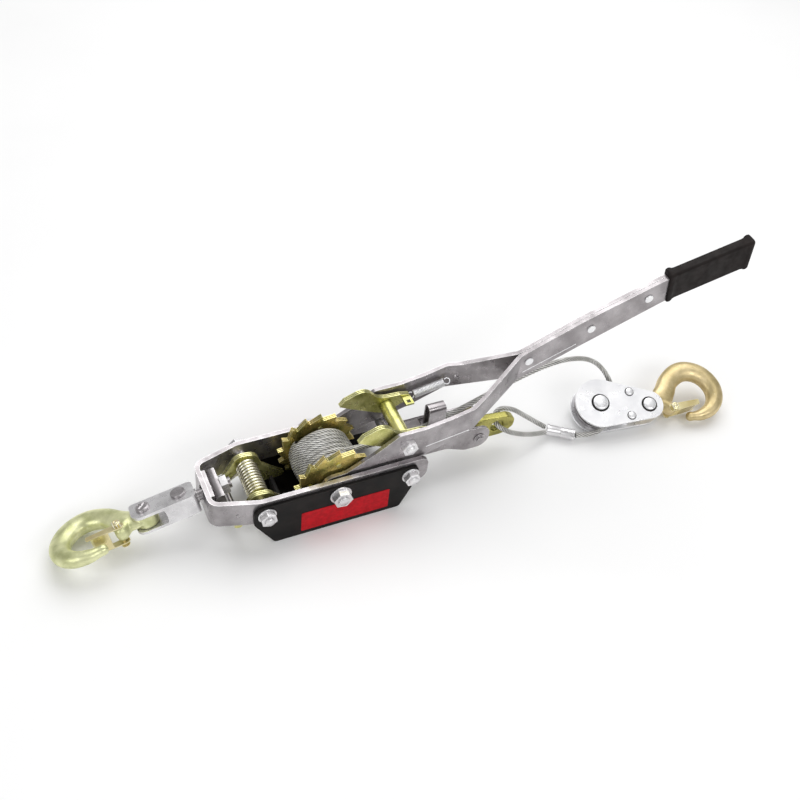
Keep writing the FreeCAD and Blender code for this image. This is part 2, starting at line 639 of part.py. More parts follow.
# Both hooks share one forging: an eye, a shank and a bowl, its back on the +v side.
HOOK_OUTLINE = [
    (-11, 11), (16, 15), (30, 31), (54, 40), (80, 33), (97, 10), (93, -16), (76, -32), (54, -35),
    (41, -29), (48, -17.5), (62, -19), (76, -11), (78, 4), (68, 15), (52, 16), (40, 6),
    (34, -6), (33, -17), (20, -17), (13, -12), (-11, -11),
]
HOOK_RADII = [11, 14, 16, 24, 24, 24, 22, 16, 14, 4, 6, 12, 12, 12, 12, 12, 12, 8, 5, 5, 6, 11]
LATCH_AT = (26.5, -11.5)
LATCH_END = (58.0, -13.5)


def forged_hook(prefix, place, pin_radius, mirror):
    """A hook with its sprung latch, in a frame with x along the hook and z through its thickness."""
    flip = -1.0 if mirror else 1.0
    thick = size("hook_gauge")
    eye = size("hook_eye_gauge")
    scale = size("hook_scale")
    outline = [(scale * u, scale * flip * v) for u, v in HOOK_OUTLINE]
    latch_end = V(scale * LATCH_END[0], scale * flip * LATCH_END[1], 0)
    pin = (scale * LATCH_AT[0], scale * flip * LATCH_AT[1])
    blank = prism(prefix + "HookBlank", "XY", rounded(outline, [scale * r for r in HOOK_RADII]), "hook_gauge", -thick / 2,
                  [(0, 0, pin_radius + gap), (pin[0], pin[1], 2.0)], place)
    top = box(prefix + "EyeTop", (-20, -30, eye / 2), (21.5, 30, thick), place)
    foot = box(prefix + "EyeFoot", (-20, -30, -thick), (21.5, 30, -eye / 2), place)
    hook = cut(prefix + "Hook", blank, top, foot)
    run = latch_end - V(pin[0], pin[1], 0)
    heading = math.degrees(math.atan2(run.y, run.x))
    latch_place = place * FreeCAD.Placement(V(pin[0], pin[1], 0), FreeCAD.Rotation(V(0, 0, 1), heading))
    ears = thick / 2 + 0.4
    shell = prism(prefix + "LatchShell", "XY",
                  rounded([(-6, -5), (run.Length, -3.2), (run.Length, 3.2), (-6, 5)], [4.5, 2, 2, 4.5]),
                  str(2 * ears + 2.6), -ears - 1.3, [(0, 0, 2.0 + gap)], latch_place)
    low, high = (-3.4, 8.0) if not mirror else (-8.0, 3.4)
    inside = box(prefix + "LatchInside", (11, low, -ears), (50, high, ears), latch_place)
    knuckle = box(prefix + "LatchKnuckle", (-9, -9, -ears), (11.01, 9, ears), latch_place)
    latch = cut(prefix + "Latch", shell, inside, knuckle)
    pin_end = ears + 1.3 + 3.6
    rod = cylinder(prefix + "LatchRod", "2", str(2 * pin_end), (pin[0], pin[1], -pin_end), (0, 0, 1), place)
    cap = cylinder(prefix + "LatchCap", "3.4", "1.2", (pin[0], pin[1], pin_end - 0.2), (0, 0, 1), place)
    spring = ring(prefix + "LatchSpring", "4", "2.3", "3", (pin[0], pin[1], ears + 1.5), (0, 0, 1), place)
    return hook, latch, fuse(prefix + "LatchPin", rod, cap), spring


front_hook_place = swivel * FreeCAD.Placement(
    V(rivet_reach, 0, 0), FreeCAD.Rotation(V(0, 0, 1), -size("front_hook_turn")))
pieces = forged_hook("Front", front_hook_place, size("rivet_radius"), True)
for label, piece in zip(("front_hook", "front_latch", "front_latch_pin", "front_latch_spring"), pieces):
    node(label, piece)

# ---------------------------------------------------------------- pulley block, sheave and rear hook
yaw = math.radians(size("block_yaw"))
tilt = math.radians(size("block_pitch"))
block_at = (size("block_reach"), size("block_side"), size("block_rise"))
block_axis = (math.cos(yaw) * math.cos(tilt), math.sin(yaw) * math.cos(tilt), -math.sin(tilt))
block = local_frame(block_at, block_axis, size("block_roll"))

length = size("block_length")
big_r = size("block_big_radius")
small_r = size("block_small_radius")
plate_in = size("block_gap") / 2
plate_out = plate_in + size("block_gauge")
taper = math.asin((big_r - small_r) / length)


def pear_edge(x):
    """Half the plate's width at x, on the straight line that touches both of its round ends."""
    return (big_r - x * math.sin(taper)) / math.cos(taper)


pear = [(-big_r, -pear_edge(-big_r)), (length + small_r, -pear_edge(length + small_r)),
        (length + small_r, pear_edge(length + small_r)), (-big_r, pear_edge(-big_r))]
pear_edges = rounded(pear, [big_r - 0.1, small_r - 0.1, small_r - 0.1, big_r - 0.1])
block_rivet_spots = [(37.0, 15.0), (37.0, -15.0)]
block_holes = [(0, 0, axle_r), (length, 0, bolt_r)] + [(x, y, 3.0) for x, y in block_rivet_spots]
node("block_plate_upper", prism("BlockUpper", "XY", pear_edges, "block_gauge", plate_in, block_holes, block))
node("block_plate_lower", prism("BlockLower", "XY", pear_edges, "block_gauge", -plate_out, block_holes, block))


def block_stud(name, at, radius, head_radius, head):
    """A headed stud through both plates."""
    x, y = at
    return fuse(
        name,
        cylinder(name + "Shank", radius, str(2 * plate_out), (x, y, -plate_out), (0, 0, 1), block),
        cylinder(name + "Top", head_radius, str(head), (x, y, plate_out), (0, 0, 1), block),
        cylinder(name + "Foot", head_radius, str(head), (x, y, -plate_out - head), (0, 0, 1), block))


node("block_rivets", group("BlockRivets", *[
    block_stud(f"BlockRivet{k}", at, "3", "4.5", 1.8) for k, at in enumerate(block_rivet_spots)]))
node("sheave_axle", block_stud("SheaveAxle", (0, 0), "axle_radius", "9", 2.5))
node("block_hook_pin", block_stud("BlockHookPin", (length, 0), "bolt_radius", "7.5", 2.5))

sheave_half = plate_in - 0.5
sheave_r = size("sheave_radius")
groove_r = size("sheave_groove_radius")
groove = doc.addObject("Part::Torus", "SheaveGroove")
groove.Radius1 = groove_r + 3.3
groove.Radius2 = 3.3
groove.Placement = block
flare = cut("SheaveFlare",
            cylinder("SheaveFlareOuter", str(sheave_r + 2), "6.6", (0, 0, -3.3), (0, 0, 1), block),
            cylinder("SheaveFlareInner", str(groove_r + 3.3), "6.6", (0, 0, -3.3), (0, 0, 1), block))
node("sheave", cut(
    "Sheave",
    cylinder("SheaveBlank", "sheave_radius", str(2 * sheave_half), (0, 0, -sheave_half), (0, 0, 1), block),
    groove, flare,
    cylinder("SheaveBore", "axle_radius + running_gap", "30", (0, 0, -15), (0, 0, 1), block)))

rear_hook_place = block * FreeCAD.Placement(
    V(length, 0, 0), FreeCAD.Rotation(V(0, 0, 1), size("rear_hook_turn")))
pieces = forged_hook("Rear", rear_hook_place, bolt_r, False)
for label, piece in zip(("rear_hook", "rear_latch", "rear_latch_pin", "rear_latch_spring"), pieces):
    node(label, piece)

# ---------------------------------------------------------------- free rope, ferrule and eye
rope_r = size("rope_diameter") / 2
SHEAVE_WRAP = groove_r + rope_r + 0.35

ROPE_TO_SHEAVE = [
    (26.5, -12.5, 76.0), (48.0, -11.0, 72.0), (72.0, -8.5, 68.0), (99.0, -4.0, 66.0), (127.0, 0.0, 67.5),
    (156.0, 3.0, 72.5), (188.0, 6.5, 80.0), (222.0, 9.0, 90.0), (256.0, 11.5, 97.5), (288.0, 15.0, 98.0),
    (320.0, 19.5, 88.0), (346.0, 24.0, 70.0), (364.5, 24.0, 49.0), (372.5, 14.5, 33.5),
]
ROPE_TO_FERRULE = [(328.0, -34.5, 9.5), (306.0, -27.0, 8.2)]
FERRULE_REAR = (304.5, -26.2, 8.2)
FERRULE_FRONT = (277.0, -8.0, 9.0)


def arcs_path(points, radius_share=0.45, fixed=None):
    """Straight runs joined by tangent arcs; fixed gives a radius of its own to some corners."""
    fixed = fixed or {}
    points = [V(*p) for p in points]
    edges = []
    last = points[0]
    smallest = None
    for i in range(1, len(points) - 1):
        here = points[i]
        before, after = points[i - 1] - here, points[i + 1] - here
        shorter = min(before.Length, after.Length)
        before.normalize()
        after.normalize()
        half_turn = (math.pi - before.getAngle(after)) / 2
        reach = min(radius_share * shorter, fixed[i] * math.tan(half_turn)) if i in fixed else radius_share * shorter
        radius = reach / math.tan(half_turn)
        smallest = radius if smallest is None else min(smallest, radius)
        print(f"  corner {i}: turn {math.degrees(2 * half_turn):.1f} deg, radius {radius:.1f} mm")
        middle = before + after
        middle.normalize()
        start, end = here + before * reach, here + after * reach
        crown = here + middle * (radius / math.cos(half_turn) - radius)
        edges.append(Part.LineSegment(last, start).toShape())
        edges.append(Part.Arc(start, crown, end).toShape())
        last = end
    edges.append(Part.LineSegment(last, points[-1]).toShape())
    return Part.Wire(edges)


def tube(points, radius, fixed=None):
    """A round cord along a path, checked against its section times its length."""
    path = arcs_path(points, fixed=fixed)
    first = V(*points[1]) - V(*points[0])
    section = Part.Wire([Part.Circle(V(*points[0]), first, radius).toShape()])
    solid = path.makePipeShell([section], True, True)
    expected = math.pi * radius ** 2 * path.Length
    print(f"  length {path.Length:.1f} mm, volume {solid.Volume:.1f}, section x length {expected:.1f}")
    assert abs(solid.Volume / expected - 1) < 0.01
    return solid


WRAP_DEGREES = (30.0, -5.0, -40.0, -75.0)
WRAP_CORNER = SHEAVE_WRAP / math.cos(math.radians(17.5))
wrap_points = []
for angle in WRAP_DEGREES:
    x, y = polar(WRAP_CORNER, angle)
    corner = block.multVec(V(x, y, 0))
    wrap_points.append((corner.x, corner.y, corner.z))
rope_points = ROPE_TO_SHEAVE + wrap_points + ROPE_TO_FERRULE
first_wrap = len(ROPE_TO_SHEAVE)
print("free_rope")
rope_solid = tube(rope_points, rope_r, {first_wrap + k: SHEAVE_WRAP for k in range(len(wrap_points))})
free_rope = doc.addObject("Part::Feature", "FreeRope")
free_rope.Shape = rope_solid
node("free_rope", free_rope)

EYE_LOOP = [
    (276.5, -11.5, 8.5), (256.0, -14.0, 14.0), (236.0, -15.0, 23.0), (218.0, -12.5, 31.5), (206.0, 0.0, 38.0),
    (215.0, 13.5, 44.5), (236.0, 14.0, 38.0), (256.0, 7.0, 22.5), (276.5, -4.5, 9.8),
]
print("rope_eye")
rope_eye = doc.addObject("Part::Feature", "RopeEye")
rope_eye.Shape = tube(EYE_LOOP, rope_r)
node("rope_eye", rope_eye)

ferrule_run = V(*FERRULE_REAR) - V(*FERRULE_FRONT)
node("rope_ferrule", cylinder("Ferrule", "7", str(round(ferrule_run.Length, 2)), FERRULE_FRONT, tuple(ferrule_run)))

# ---------------------------------------------------------------- check and write
doc.recompute()
for thing in doc.Objects:
    states = [state for state in thing.State if state in ("Invalid", "Error")]
    if states:
        raise RuntimeError(f"{thing.Name} is {states}")
os.makedirs("parts", exist_ok=True)
for label, thing in NODES.items():
    shape = thing.Shape
    if shape.isNull() or not shape.isValid() or not shape.Solids:
        raise RuntimeError(f"{label} has no valid solid")
    shape.exportStep(f"parts/{label}.step")
    extent = shape.BoundBox
    print(f"{label:26s} solids {len(shape.Solids):2d}  volume {shape.Volume / 1000:9.2f} cm3  "
          f"z {extent.ZMin:7.2f} .. {extent.ZMax:7.2f}")
print(len(NODES), "sub-parts")
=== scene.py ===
"""Looks for the cable puller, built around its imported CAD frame. Lengths are in metres."""
import json
import math

import bmesh
import bpy
import numpy as np
from mathutils import Matrix, Quaternion, Vector
from mathutils.bvhtree import BVHTree


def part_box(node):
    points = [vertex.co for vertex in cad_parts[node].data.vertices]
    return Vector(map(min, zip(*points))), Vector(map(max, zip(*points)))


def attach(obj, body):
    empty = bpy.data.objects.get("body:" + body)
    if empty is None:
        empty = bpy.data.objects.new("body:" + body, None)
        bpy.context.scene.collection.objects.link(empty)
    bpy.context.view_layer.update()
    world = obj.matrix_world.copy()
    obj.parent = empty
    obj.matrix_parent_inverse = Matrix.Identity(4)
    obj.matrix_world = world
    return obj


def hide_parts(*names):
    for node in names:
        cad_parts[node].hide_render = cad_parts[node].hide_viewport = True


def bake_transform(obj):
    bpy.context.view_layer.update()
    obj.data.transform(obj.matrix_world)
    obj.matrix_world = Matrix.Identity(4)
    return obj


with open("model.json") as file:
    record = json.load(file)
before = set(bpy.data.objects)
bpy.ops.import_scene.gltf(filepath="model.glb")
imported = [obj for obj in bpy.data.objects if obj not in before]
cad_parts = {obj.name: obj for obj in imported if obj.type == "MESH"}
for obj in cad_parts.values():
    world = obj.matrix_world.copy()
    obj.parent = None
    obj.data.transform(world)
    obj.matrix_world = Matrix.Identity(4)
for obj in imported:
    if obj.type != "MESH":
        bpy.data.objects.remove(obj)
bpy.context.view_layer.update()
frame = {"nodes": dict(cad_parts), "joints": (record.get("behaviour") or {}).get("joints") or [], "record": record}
nodes = frame["nodes"]
joints = {joint["name"]: joint for joint in frame["joints"]}
body_of = {n: body for body, names in frame["record"]["behaviour"]["bodies"].items() for n in names}

MM = 0.001
NEAR = Vector((0, -1, 0))  # towards the side that carries the nuts
AXLE = Vector(joints["drum_spin"]["pos_m"])


# ================================================================ materials
NOISE_SPAN = (0.3, 0.7)  # where most of a noise field's values lie
EDGE_LIKENESS = (0.99, 0.80)  # rounded normal against true normal: from flat to edge
EDGE_SAMPLES = 4
# radius of the edge mask that places the painted highlight on plated steel
EDGE_HIGHLIGHT_RADIUS = 0.9 * MM
SPECKLE = (0.62, 0.80, 0.0, 0.45)
LOW_SPECULAR = 0.12
# over this span the rope's painted groove shade fades out toward the strands' crowns
STRAND_SHADE_SPAN = (0.80, 0.98)  # share of the rope's radius, from groove to crown
MIX_SHARE, MIX_FIRST, MIX_SECOND, MIX_COLOUR = 0, 6, 7, 2  # a Mix node's sockets for colours


def new_material(name):
    """A material with its node tree and its Principled shader."""
    material = bpy.data.materials.new(name)
    material.use_nodes = True
    return material, material.node_tree, material.node_tree.nodes["Principled BSDF"]


def add(tree, kind, inputs=None, **settings):
    """A node with some inputs and settings filled in."""
    made = tree.nodes.new(kind)
    for key, value in settings.items():
        setattr(made, key, value)
    for key, value in (inputs or {}).items():
        made.inputs[key].default_value = value
    return made


def noise_field(tree, scale, detail=4.0):
    """Noise over the piece's own coordinates, from 0 to 1."""
    place = add(tree, "ShaderNodeTexCoord")
    field = add(tree, "ShaderNodeTexNoise", {"Scale": scale, "Detail": detail})
    tree.links.new(place.outputs["Object"], field.inputs["Vector"])
    return field.outputs["Fac"]


def ramp(tree, source, stops):
    """A colour ramp over (place, colour) stops."""
    made = add(tree, "ShaderNodeValToRGB")
    elements = made.color_ramp.elements
    for element, (place, colour) in zip(elements, stops):
        element.position, element.color = place, (*colour, 1.0)
    for place, colour in stops[2:]:
        elements.new(place).color = (*colour, 1.0)
    tree.links.new(source, made.inputs["Fac"])
    return made.outputs["Color"]


def span(tree, source, low, high, to_low=0.0, to_high=1.0):
    """Maps low..high of a value to another span."""
    made = add(tree, "ShaderNodeMapRange",
               {"From Min": low, "From Max": high, "To Min": to_low, "To Max": to_high})
    tree.links.new(source, made.inputs["Value"])
    return made.outputs["Result"]


def mixed(tree, share, first, second):
    """Mixes two colours by a share, which is a socket; each colour is a socket or a plain colour."""
    made = add(tree, "ShaderNodeMix", data_type="RGBA")
    tree.links.new(share, made.inputs[MIX_SHARE])
    for place, value in ((MIX_FIRST, first), (MIX_SECOND, second)):
        if isinstance(value, bpy.types.NodeSocket):
            tree.links.new(value, made.inputs[place])
        else:
            made.inputs[place].default_value = (*value, 1.0)
    return made.outputs[MIX_COLOUR]


def edge_highlight_and_wear(tree, radius):
    """A mask that is 1 along the piece's sharp edges: there plated steel gets a painted highlight, and paint and
    rubber get lighter edges.
    """
    rounded = add(tree, "ShaderNodeBevel", {"Radius": radius}, samples=EDGE_SAMPLES)
    plain = add(tree, "ShaderNodeNewGeometry")
    likeness = add(tree, "ShaderNodeVectorMath", operation="DOT_PRODUCT")
    tree.links.new(rounded.outputs["Normal"], likeness.inputs[0])
    tree.links.new(plain.outputs["Normal"], likeness.inputs[1])
    return span(tree, likeness.outputs["Value"], *EDGE_LIKENESS)


def bumped(tree, shader, height, strength, distance):
    """Raises the surface by a height field."""
    bump = add(tree, "ShaderNodeBump", {"Strength": strength, "Distance": distance})
    tree.links.new(height, bump.inputs["Height"])
    tree.links.new(bump.outputs["Normal"], shader.inputs["Normal"])


def uneven_gloss(tree, shader, scale, low, high, detail=4.0):
    """Roughness that wanders between low and high."""
    gloss = span(tree, noise_field(tree, scale, detail), *NOISE_SPAN, low, high)
    tree.links.new(gloss, shader.inputs["Roughness"])


def plated(name, tint, shade, fleck_and_highlight, roughness=(0.22, 0.42), metallic=0.9, grain=900.0, mottle=45.0,
           relief=0.25):
    """Plated steel: broad cloudy tone, fine speckle, a painted highlight along the sharp edges and an uneven
    gloss.
    """
    material, tree, shader = new_material(name)
    cloud = ramp(tree, noise_field(tree, mottle, 5.0), [(0.34, shade), (0.66, tint)])
    speckle = span(tree, noise_field(tree, grain, 3.0), *SPECKLE)
    flecked = mixed(tree, speckle, cloud, fleck_and_highlight)
    # painted highlight: the sharp edges are mixed toward the near-white highlight colour
    colour = mixed(tree, edge_highlight_and_wear(tree, EDGE_HIGHLIGHT_RADIUS), flecked, fleck_and_highlight)
    tree.links.new(colour, shader.inputs["Base Color"])
    shader.inputs["Metallic"].default_value = metallic
    uneven_gloss(tree, shader, 130.0, *roughness, detail=6.0)
    bumped(tree, shader, noise_field(tree, grain, 2.0), relief, 0.15 * MM)
    return material


def painted(name, colour, worn, roughness):
    """Semi-gloss paint with a faint orange peel and slightly greyer edges."""
    material, tree, shader = new_material(name)
    cloud = ramp(tree, noise_field(tree, 60.0), [(0.35, colour), (0.7, worn)])
    tree.links.new(mixed(tree, edge_highlight_and_wear(tree, 0.7 * MM), cloud, tuple(3.0 * c for c in worn)),
                   shader.inputs["Base Color"])
    uneven_gloss(tree, shader, 90.0, roughness - 0.06, roughness + 0.10)
    shader.inputs["Specular IOR Level"].default_value = LOW_SPECULAR
    bumped(tree, shader, noise_field(tree, 700.0, 2.0), 0.12, 0.1 * MM)
    return material


def film(name, colour, deep):
    """A plain glossy adhesive film."""
    material, tree, shader = new_material(name)
    tree.links.new(ramp(tree, noise_field(tree, 240.0, 6.0), [(0.38, deep), (0.62, colour)]),
                   shader.inputs["Base Color"])
    uneven_gloss(tree, shader, 500.0, 0.34, 0.5)
    shader.inputs["Specular IOR Level"].default_value = LOW_SPECULAR
    bumped(tree, shader, noise_field(tree, 900.0, 2.0), 0.1, 0.05 * MM)
    return material


def moulded_rubber(name, colour, dusty):
    """Matt rubber with a pebbled skin and paler edges."""
    material, tree, shader = new_material(name)
    cloud = ramp(tree, noise_field(tree, 70.0, 6.0), [(0.35, colour), (0.75, dusty)])
    tree.links.new(mixed(tree, edge_highlight_and_wear(tree, 1.2 * MM), cloud, tuple(1.8 * c for c in dusty)),
                   shader.inputs["Base Color"])
    uneven_gloss(tree, shader, 120.0, 0.5, 0.72)
    shader.inputs["Specular IOR Level"].default_value = 0.2
    bumped(tree, shader, noise_field(tree, 1500.0, 4.0), 0.5, 0.25 * MM)
    return material


def wire_strand(name, tint, shade, groove):
    """Galvanised wires laid along a strand, with painted shade darkening the grooves between strands.

    UV x runs along a strand in metres and y round it; "height" is the distance from the rope's own line.
    """
    material, tree, shader = new_material(name)
    place = add(tree, "ShaderNodeUVMap", uv_map="along")
    mapping = add(tree, "ShaderNodeMapping", {"Scale": (260.0, 9.0, 1.0)})
    wires = add(tree, "ShaderNodeTexWave", {"Scale": 1.0, "Distortion": 0.6}, bands_direction="DIAGONAL")
    tree.links.new(place.outputs["UV"], mapping.inputs["Vector"])
    tree.links.new(mapping.outputs["Vector"], wires.inputs["Vector"])
    cloud = ramp(tree, noise_field(tree, 90.0, 5.0), [(0.35, shade), (0.65, tint)])
    dark = tuple(0.45 * c for c in shade)
    wired = mixed(tree, span(tree, wires.outputs["Fac"], 0.0, 0.35), dark, cloud)
    # painted shade: the rope is mixed toward the dark groove colour where it lies close to its own line, between
    # strands
    height = add(tree, "ShaderNodeAttribute", attribute_name="height")
    depth = span(tree, height.outputs["Fac"], *STRAND_SHADE_SPAN)
    tree.links.new(mixed(tree, depth, groove, wired), shader.inputs["Base Color"])
    shader.inputs["Metallic"].default_value = 0.6
    uneven_gloss(tree, shader, 200.0, 0.28, 0.5)
    bumped(tree, shader, wires.outputs["Fac"], 0.6, 0.12 * MM)
    return material


# The third colour of each plated finish colours the fine flecks and the painted highlight along sharp edges.
ZINC = plated("zinc_plate", (0.46, 0.435, 0.445), (0.29, 0.27, 0.277), (0.98, 0.98, 0.98))
BRIGHT = plated("bright_zinc", (0.93, 0.93, 0.94), (0.80, 0.80, 0.82), (1.0, 1.0, 1.0), (0.25, 0.4), 0.7)
SATIN = plated("satin_zinc", (0.84, 0.83, 0.84), (0.62, 0.61, 0.62), (1.0, 1.0, 1.0), (0.2, 0.4), 0.8)
YELLOW = plated("yellow_chromate", (0.78, 0.75, 0.32), (0.40, 0.40, 0.11), (0.99, 0.97, 0.68), (0.2, 0.4),
                0.85, mottle=60.0)
GOLD_TOOTH = plated("gold_chromate", (0.86, 0.66, 0.20), (0.38, 0.36, 0.09), (1.0, 0.95, 0.62), (0.18, 0.36),
                    0.88, mottle=80.0)
OLIVE = plated("olive_chromate", (0.56, 0.51, 0.15), (0.25, 0.24, 0.06), (0.94, 0.90, 0.55), (0.2, 0.4),
               0.85)
PALE_GOLD = plated("pale_gold_forging", (0.82, 0.83, 0.50), (0.52, 0.54, 0.27), (0.98, 0.99, 0.78),
                   (0.3, 0.5), 0.75, grain=600.0, mottle=70.0, relief=0.7)
TAN_GOLD = plated("tan_gold_forging", (0.77, 0.63, 0.36), (0.50, 0.40, 0.19), (0.96, 0.90, 0.66),
                  (0.3, 0.5), 0.75, grain=600.0, mottle=55.0, relief=0.7)
SPRING = plated("spring_wire", (0.90, 0.87, 0.74), (0.62, 0.58, 0.42), (1.0, 0.99, 0.92), (0.18, 0.32))
LATCH = plated("latch_chromate", (0.80, 0.72, 0.42), (0.60, 0.50, 0.24), (0.98, 0.94, 0.74), (0.25, 0.4),
               0.8)
# A near-black paint for the dark rings round the block's heads, which are painted shadow.
SHADE = painted("shaded_recess", (0.010, 0.009, 0.009), (0.030, 0.028, 0.028), 0.5)
BLACK = painted("black_paint", (0.0045, 0.004, 0.004), (0.012, 0.010, 0.009), 0.34)
RED = film("plain_red_film", (0.53, 0.004, 0.012), (0.40, 0.003, 0.009))
RUBBER = moulded_rubber("grip_rubber", (0.007, 0.0045, 0.004), (0.017, 0.012, 0.011))
# The last colour of the strand is the painted shade in the grooves between strands.
WIRE = wire_strand("galvanised_strand", (0.98, 0.97, 0.94), (0.62, 0.61, 0.58), (0.022, 0.020, 0.018))


# ================================================================ mesh tools
JOIN_WITHIN = 3e-6
FLAT_WITHIN = math.radians(0.5)
SHARP, TURNED_SHARP, THREAD_SHARP, TUBE_SHARP = (math.radians(a) for a in (38, 50, 55, 60))
PLIES = 3
PLY_GAP = 0.8 * MM
PLY_EDGE = 0.28 * MM
FORGING_PASSES = 14
ROPE_RADIUS = 3.0 * MM
ROPE_LAY = 25 * MM
STRANDS = 6
STRAND_CIRCLE, STRAND_SHARE = 0.66, 0.345  # the strands' own circle and radius, of the rope's radius
LINE_SPACING = 1.5 * MM
SHORTEST_STEP = 0.3  # of the spacing
NO_LENGTH = 1e-9


def linked(name, data):
    """A new object in the scene."""
    made = bpy.data.objects.new(name, data)
    bpy.context.scene.collection.objects.link(made)
    return made


def mesh_of(shape, name):
    """A mesh from a bmesh, which is used up."""
    mesh = bpy.data.meshes.new(name)
    shape.to_mesh(mesh)
    shape.free()
    return mesh


def smoothly(mesh, sharp=None):
    """The same mesh shaded smooth, but for edges sharper than an angle."""
    for polygon in mesh.polygons:
        polygon.use_smooth = True
    if sharp is not None:
        mesh.set_sharp_from_angle(angle=sharp)
    return mesh


def round_axis(axis):
    """An axis and two directions across it, each of length one."""
    axis = axis.normalized()
    side = axis.orthogonal().normalized()
    return axis, side, axis.cross(side)


def spoke(angle, side, across):
    """The direction at an angle from side towards across."""
    return math.cos(angle) * side + math.sin(angle) * across


def band(shape, rings):
    """Quads between rings of corners."""
    for lower, upper in zip(rings, rings[1:]):
        for k, _ in enumerate(lower):
            beside = (k + 1) % len(lower)
            shape.faces.new((lower[k], lower[beside], upper[beside], upper[k]))


def closed_band(shape, rings):
    """Quads between rings of corners, with both ends closed."""
    band(shape, rings)
    shape.faces.new(rings[0][::-1])
    shape.faces.new(rings[-1])


def reach_of(node, centre, way):
    """How far a CAD node reaches from a place in one direction."""
    return max((v.co - centre).dot(way) for v in nodes[node].data.vertices)


def piece_from_mesh(name, mesh, material, body, *stands_for):
    """A finished piece on its body, standing for some CAD nodes."""
    mesh.name = name
    piece = linked(name, mesh)
    mesh.materials.clear()
    mesh.materials.append(material)
    if body:
        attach(piece, body)
    if stands_for:
        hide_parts(*stands_for)
    return piece


def cleaned(node):
    """A CAD node's mesh with its corners joined and its flat faces whole."""
    shape = bmesh.new()
    shape.from_mesh(nodes[node].data)
    bmesh.ops.remove_doubles(shape, verts=shape.verts, dist=JOIN_WITHIN)
    bmesh.ops.dissolve_limit(shape, angle_limit=FLAT_WITHIN, verts=shape.verts, edges=shape.edges)
    return shape


def finish_edges(shape, width, segments):
    """Rounds every sharp edge by width and returns the mesh, smooth but for what is still sharp."""
    edges = [e for e in shape.edges if len(e.link_faces) == 2 and e.calc_face_angle(0.0) > SHARP]
    bmesh.ops.bevel(shape, geom=edges, offset=width, offset_type="OFFSET", segments=segments, profile=0.5,
                    affect="EDGES", clamp_overlap=True)
    bmesh.ops.recalc_face_normals(shape, faces=shape.faces)
    return smoothly(mesh_of(shape, "edges"), SHARP)


def weigh_normals(piece):
    """Keeps large flat faces flat next to their rounded edges."""
    modifier = piece.modifiers.new("Weighted", "WEIGHTED_NORMAL")
    modifier.keep_sharp = True


def softened(node, material, width=0.5 * MM, segments=2):
    """A CAD node rebuilt with rounded edges."""
    mesh = finish_edges(cleaned(node), width, segments)
    weigh_normals(piece_from_mesh("edged_" + node, mesh, material, body_of[node], node))


def laminated(node, material):
    """A plate rebuilt as riveted plies, each with rounded edges."""
    low, high = (corner.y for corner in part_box(node))
    ply = (high - low) / PLIES
    stack = bmesh.new()
    for k in range(PLIES):
        shape = cleaned(node)
        for vertex in shape.verts:
            share = (vertex.co.y - low) / (high - low)
            vertex.co.y = low + k * ply + PLY_GAP / 2 + share * (ply - PLY_GAP)
        mesh = finish_edges(shape, PLY_EDGE, 1)
        stack.from_mesh(mesh)
        bpy.data.meshes.remove(mesh)
    whole = smoothly(mesh_of(stack, "plies"), SHARP)
    weigh_normals(piece_from_mesh("plies_" + node, whole, material, body_of[node], node))


def rounded_solid(mesh, voxel):
    """A mesh's solids joined into one by voxels of one size, then smoothed."""
    work = linked("forging", mesh)
    remesh = work.modifiers.new("Voxels", "REMESH")
    remesh.mode = "VOXEL"
    remesh.voxel_size = voxel
    smooth = work.modifiers.new("Round", "SMOOTH")
    smooth.factor = 0.5
    smooth.iterations = FORGING_PASSES
    graph = bpy.context.evaluated_depsgraph_get()
    result = bpy.data.meshes.new_from_object(work.evaluated_get(graph))
    bpy.data.objects.remove(work)
    return smoothly(result)


def forged(node, material, voxel):
    """A CAD node rebuilt as a forging, with full and round edges."""
    mesh = rounded_solid(mesh_of(cleaned(node), "forging"), voxel)
    piece_from_mesh("forged_" + node, mesh, material, body_of[node], node)


def node_axis(node):
    """The two ends and the radius of a round, straight CAD node."""
    places = np.array([v.co for v in nodes[node].data.vertices], float)
    middle = places.mean(0)
    spread = np.linalg.svd(places - middle, full_matrices=False)[2]
    along = (places - middle) @ spread[0]
    radius = np.linalg.norm(places - middle - np.outer(along, spread[0]), axis=1).max()
    return Vector(middle + along.min() * spread[0]), Vector(middle + along.max() * spread[0]), float(radius)


def carried(points):
    """Tangent and two side directions at each point, turned as little as possible from one to the next."""
    tangents = []
    for i, _ in enumerate(points):
        ahead = points[min(i + 1, len(points) - 1)] - points[max(i - 1, 0)]
        tangents.append(ahead.normalized())
    side = tangents[0].orthogonal().normalized()
    rows = []
    for i, tangent in enumerate(tangents):
        if i:
            side = tangents[i - 1].rotation_difference(tangent) @ side
        side = (side - side.dot(tangent) * tangent).normalized()
        rows.append((tangent, side, tangent.cross(side)))
    return rows


def strand_paths(points):
    """The centre lines of a rope's strands, laid round the rope's own line."""
    paths = [[] for _ in range(STRANDS)]
    travelled = 0.0
    for i, (point, (_, side, across)) in enumerate(zip(points, carried(points))):
        if i:
            travelled += (point - points[i - 1]).length
        for k, path in enumerate(paths):
            angle = 2 * math.pi * (k / STRANDS + travelled / ROPE_LAY)
            path.append(point + STRAND_CIRCLE * ROPE_RADIUS * spoke(angle, side, across))
    return paths


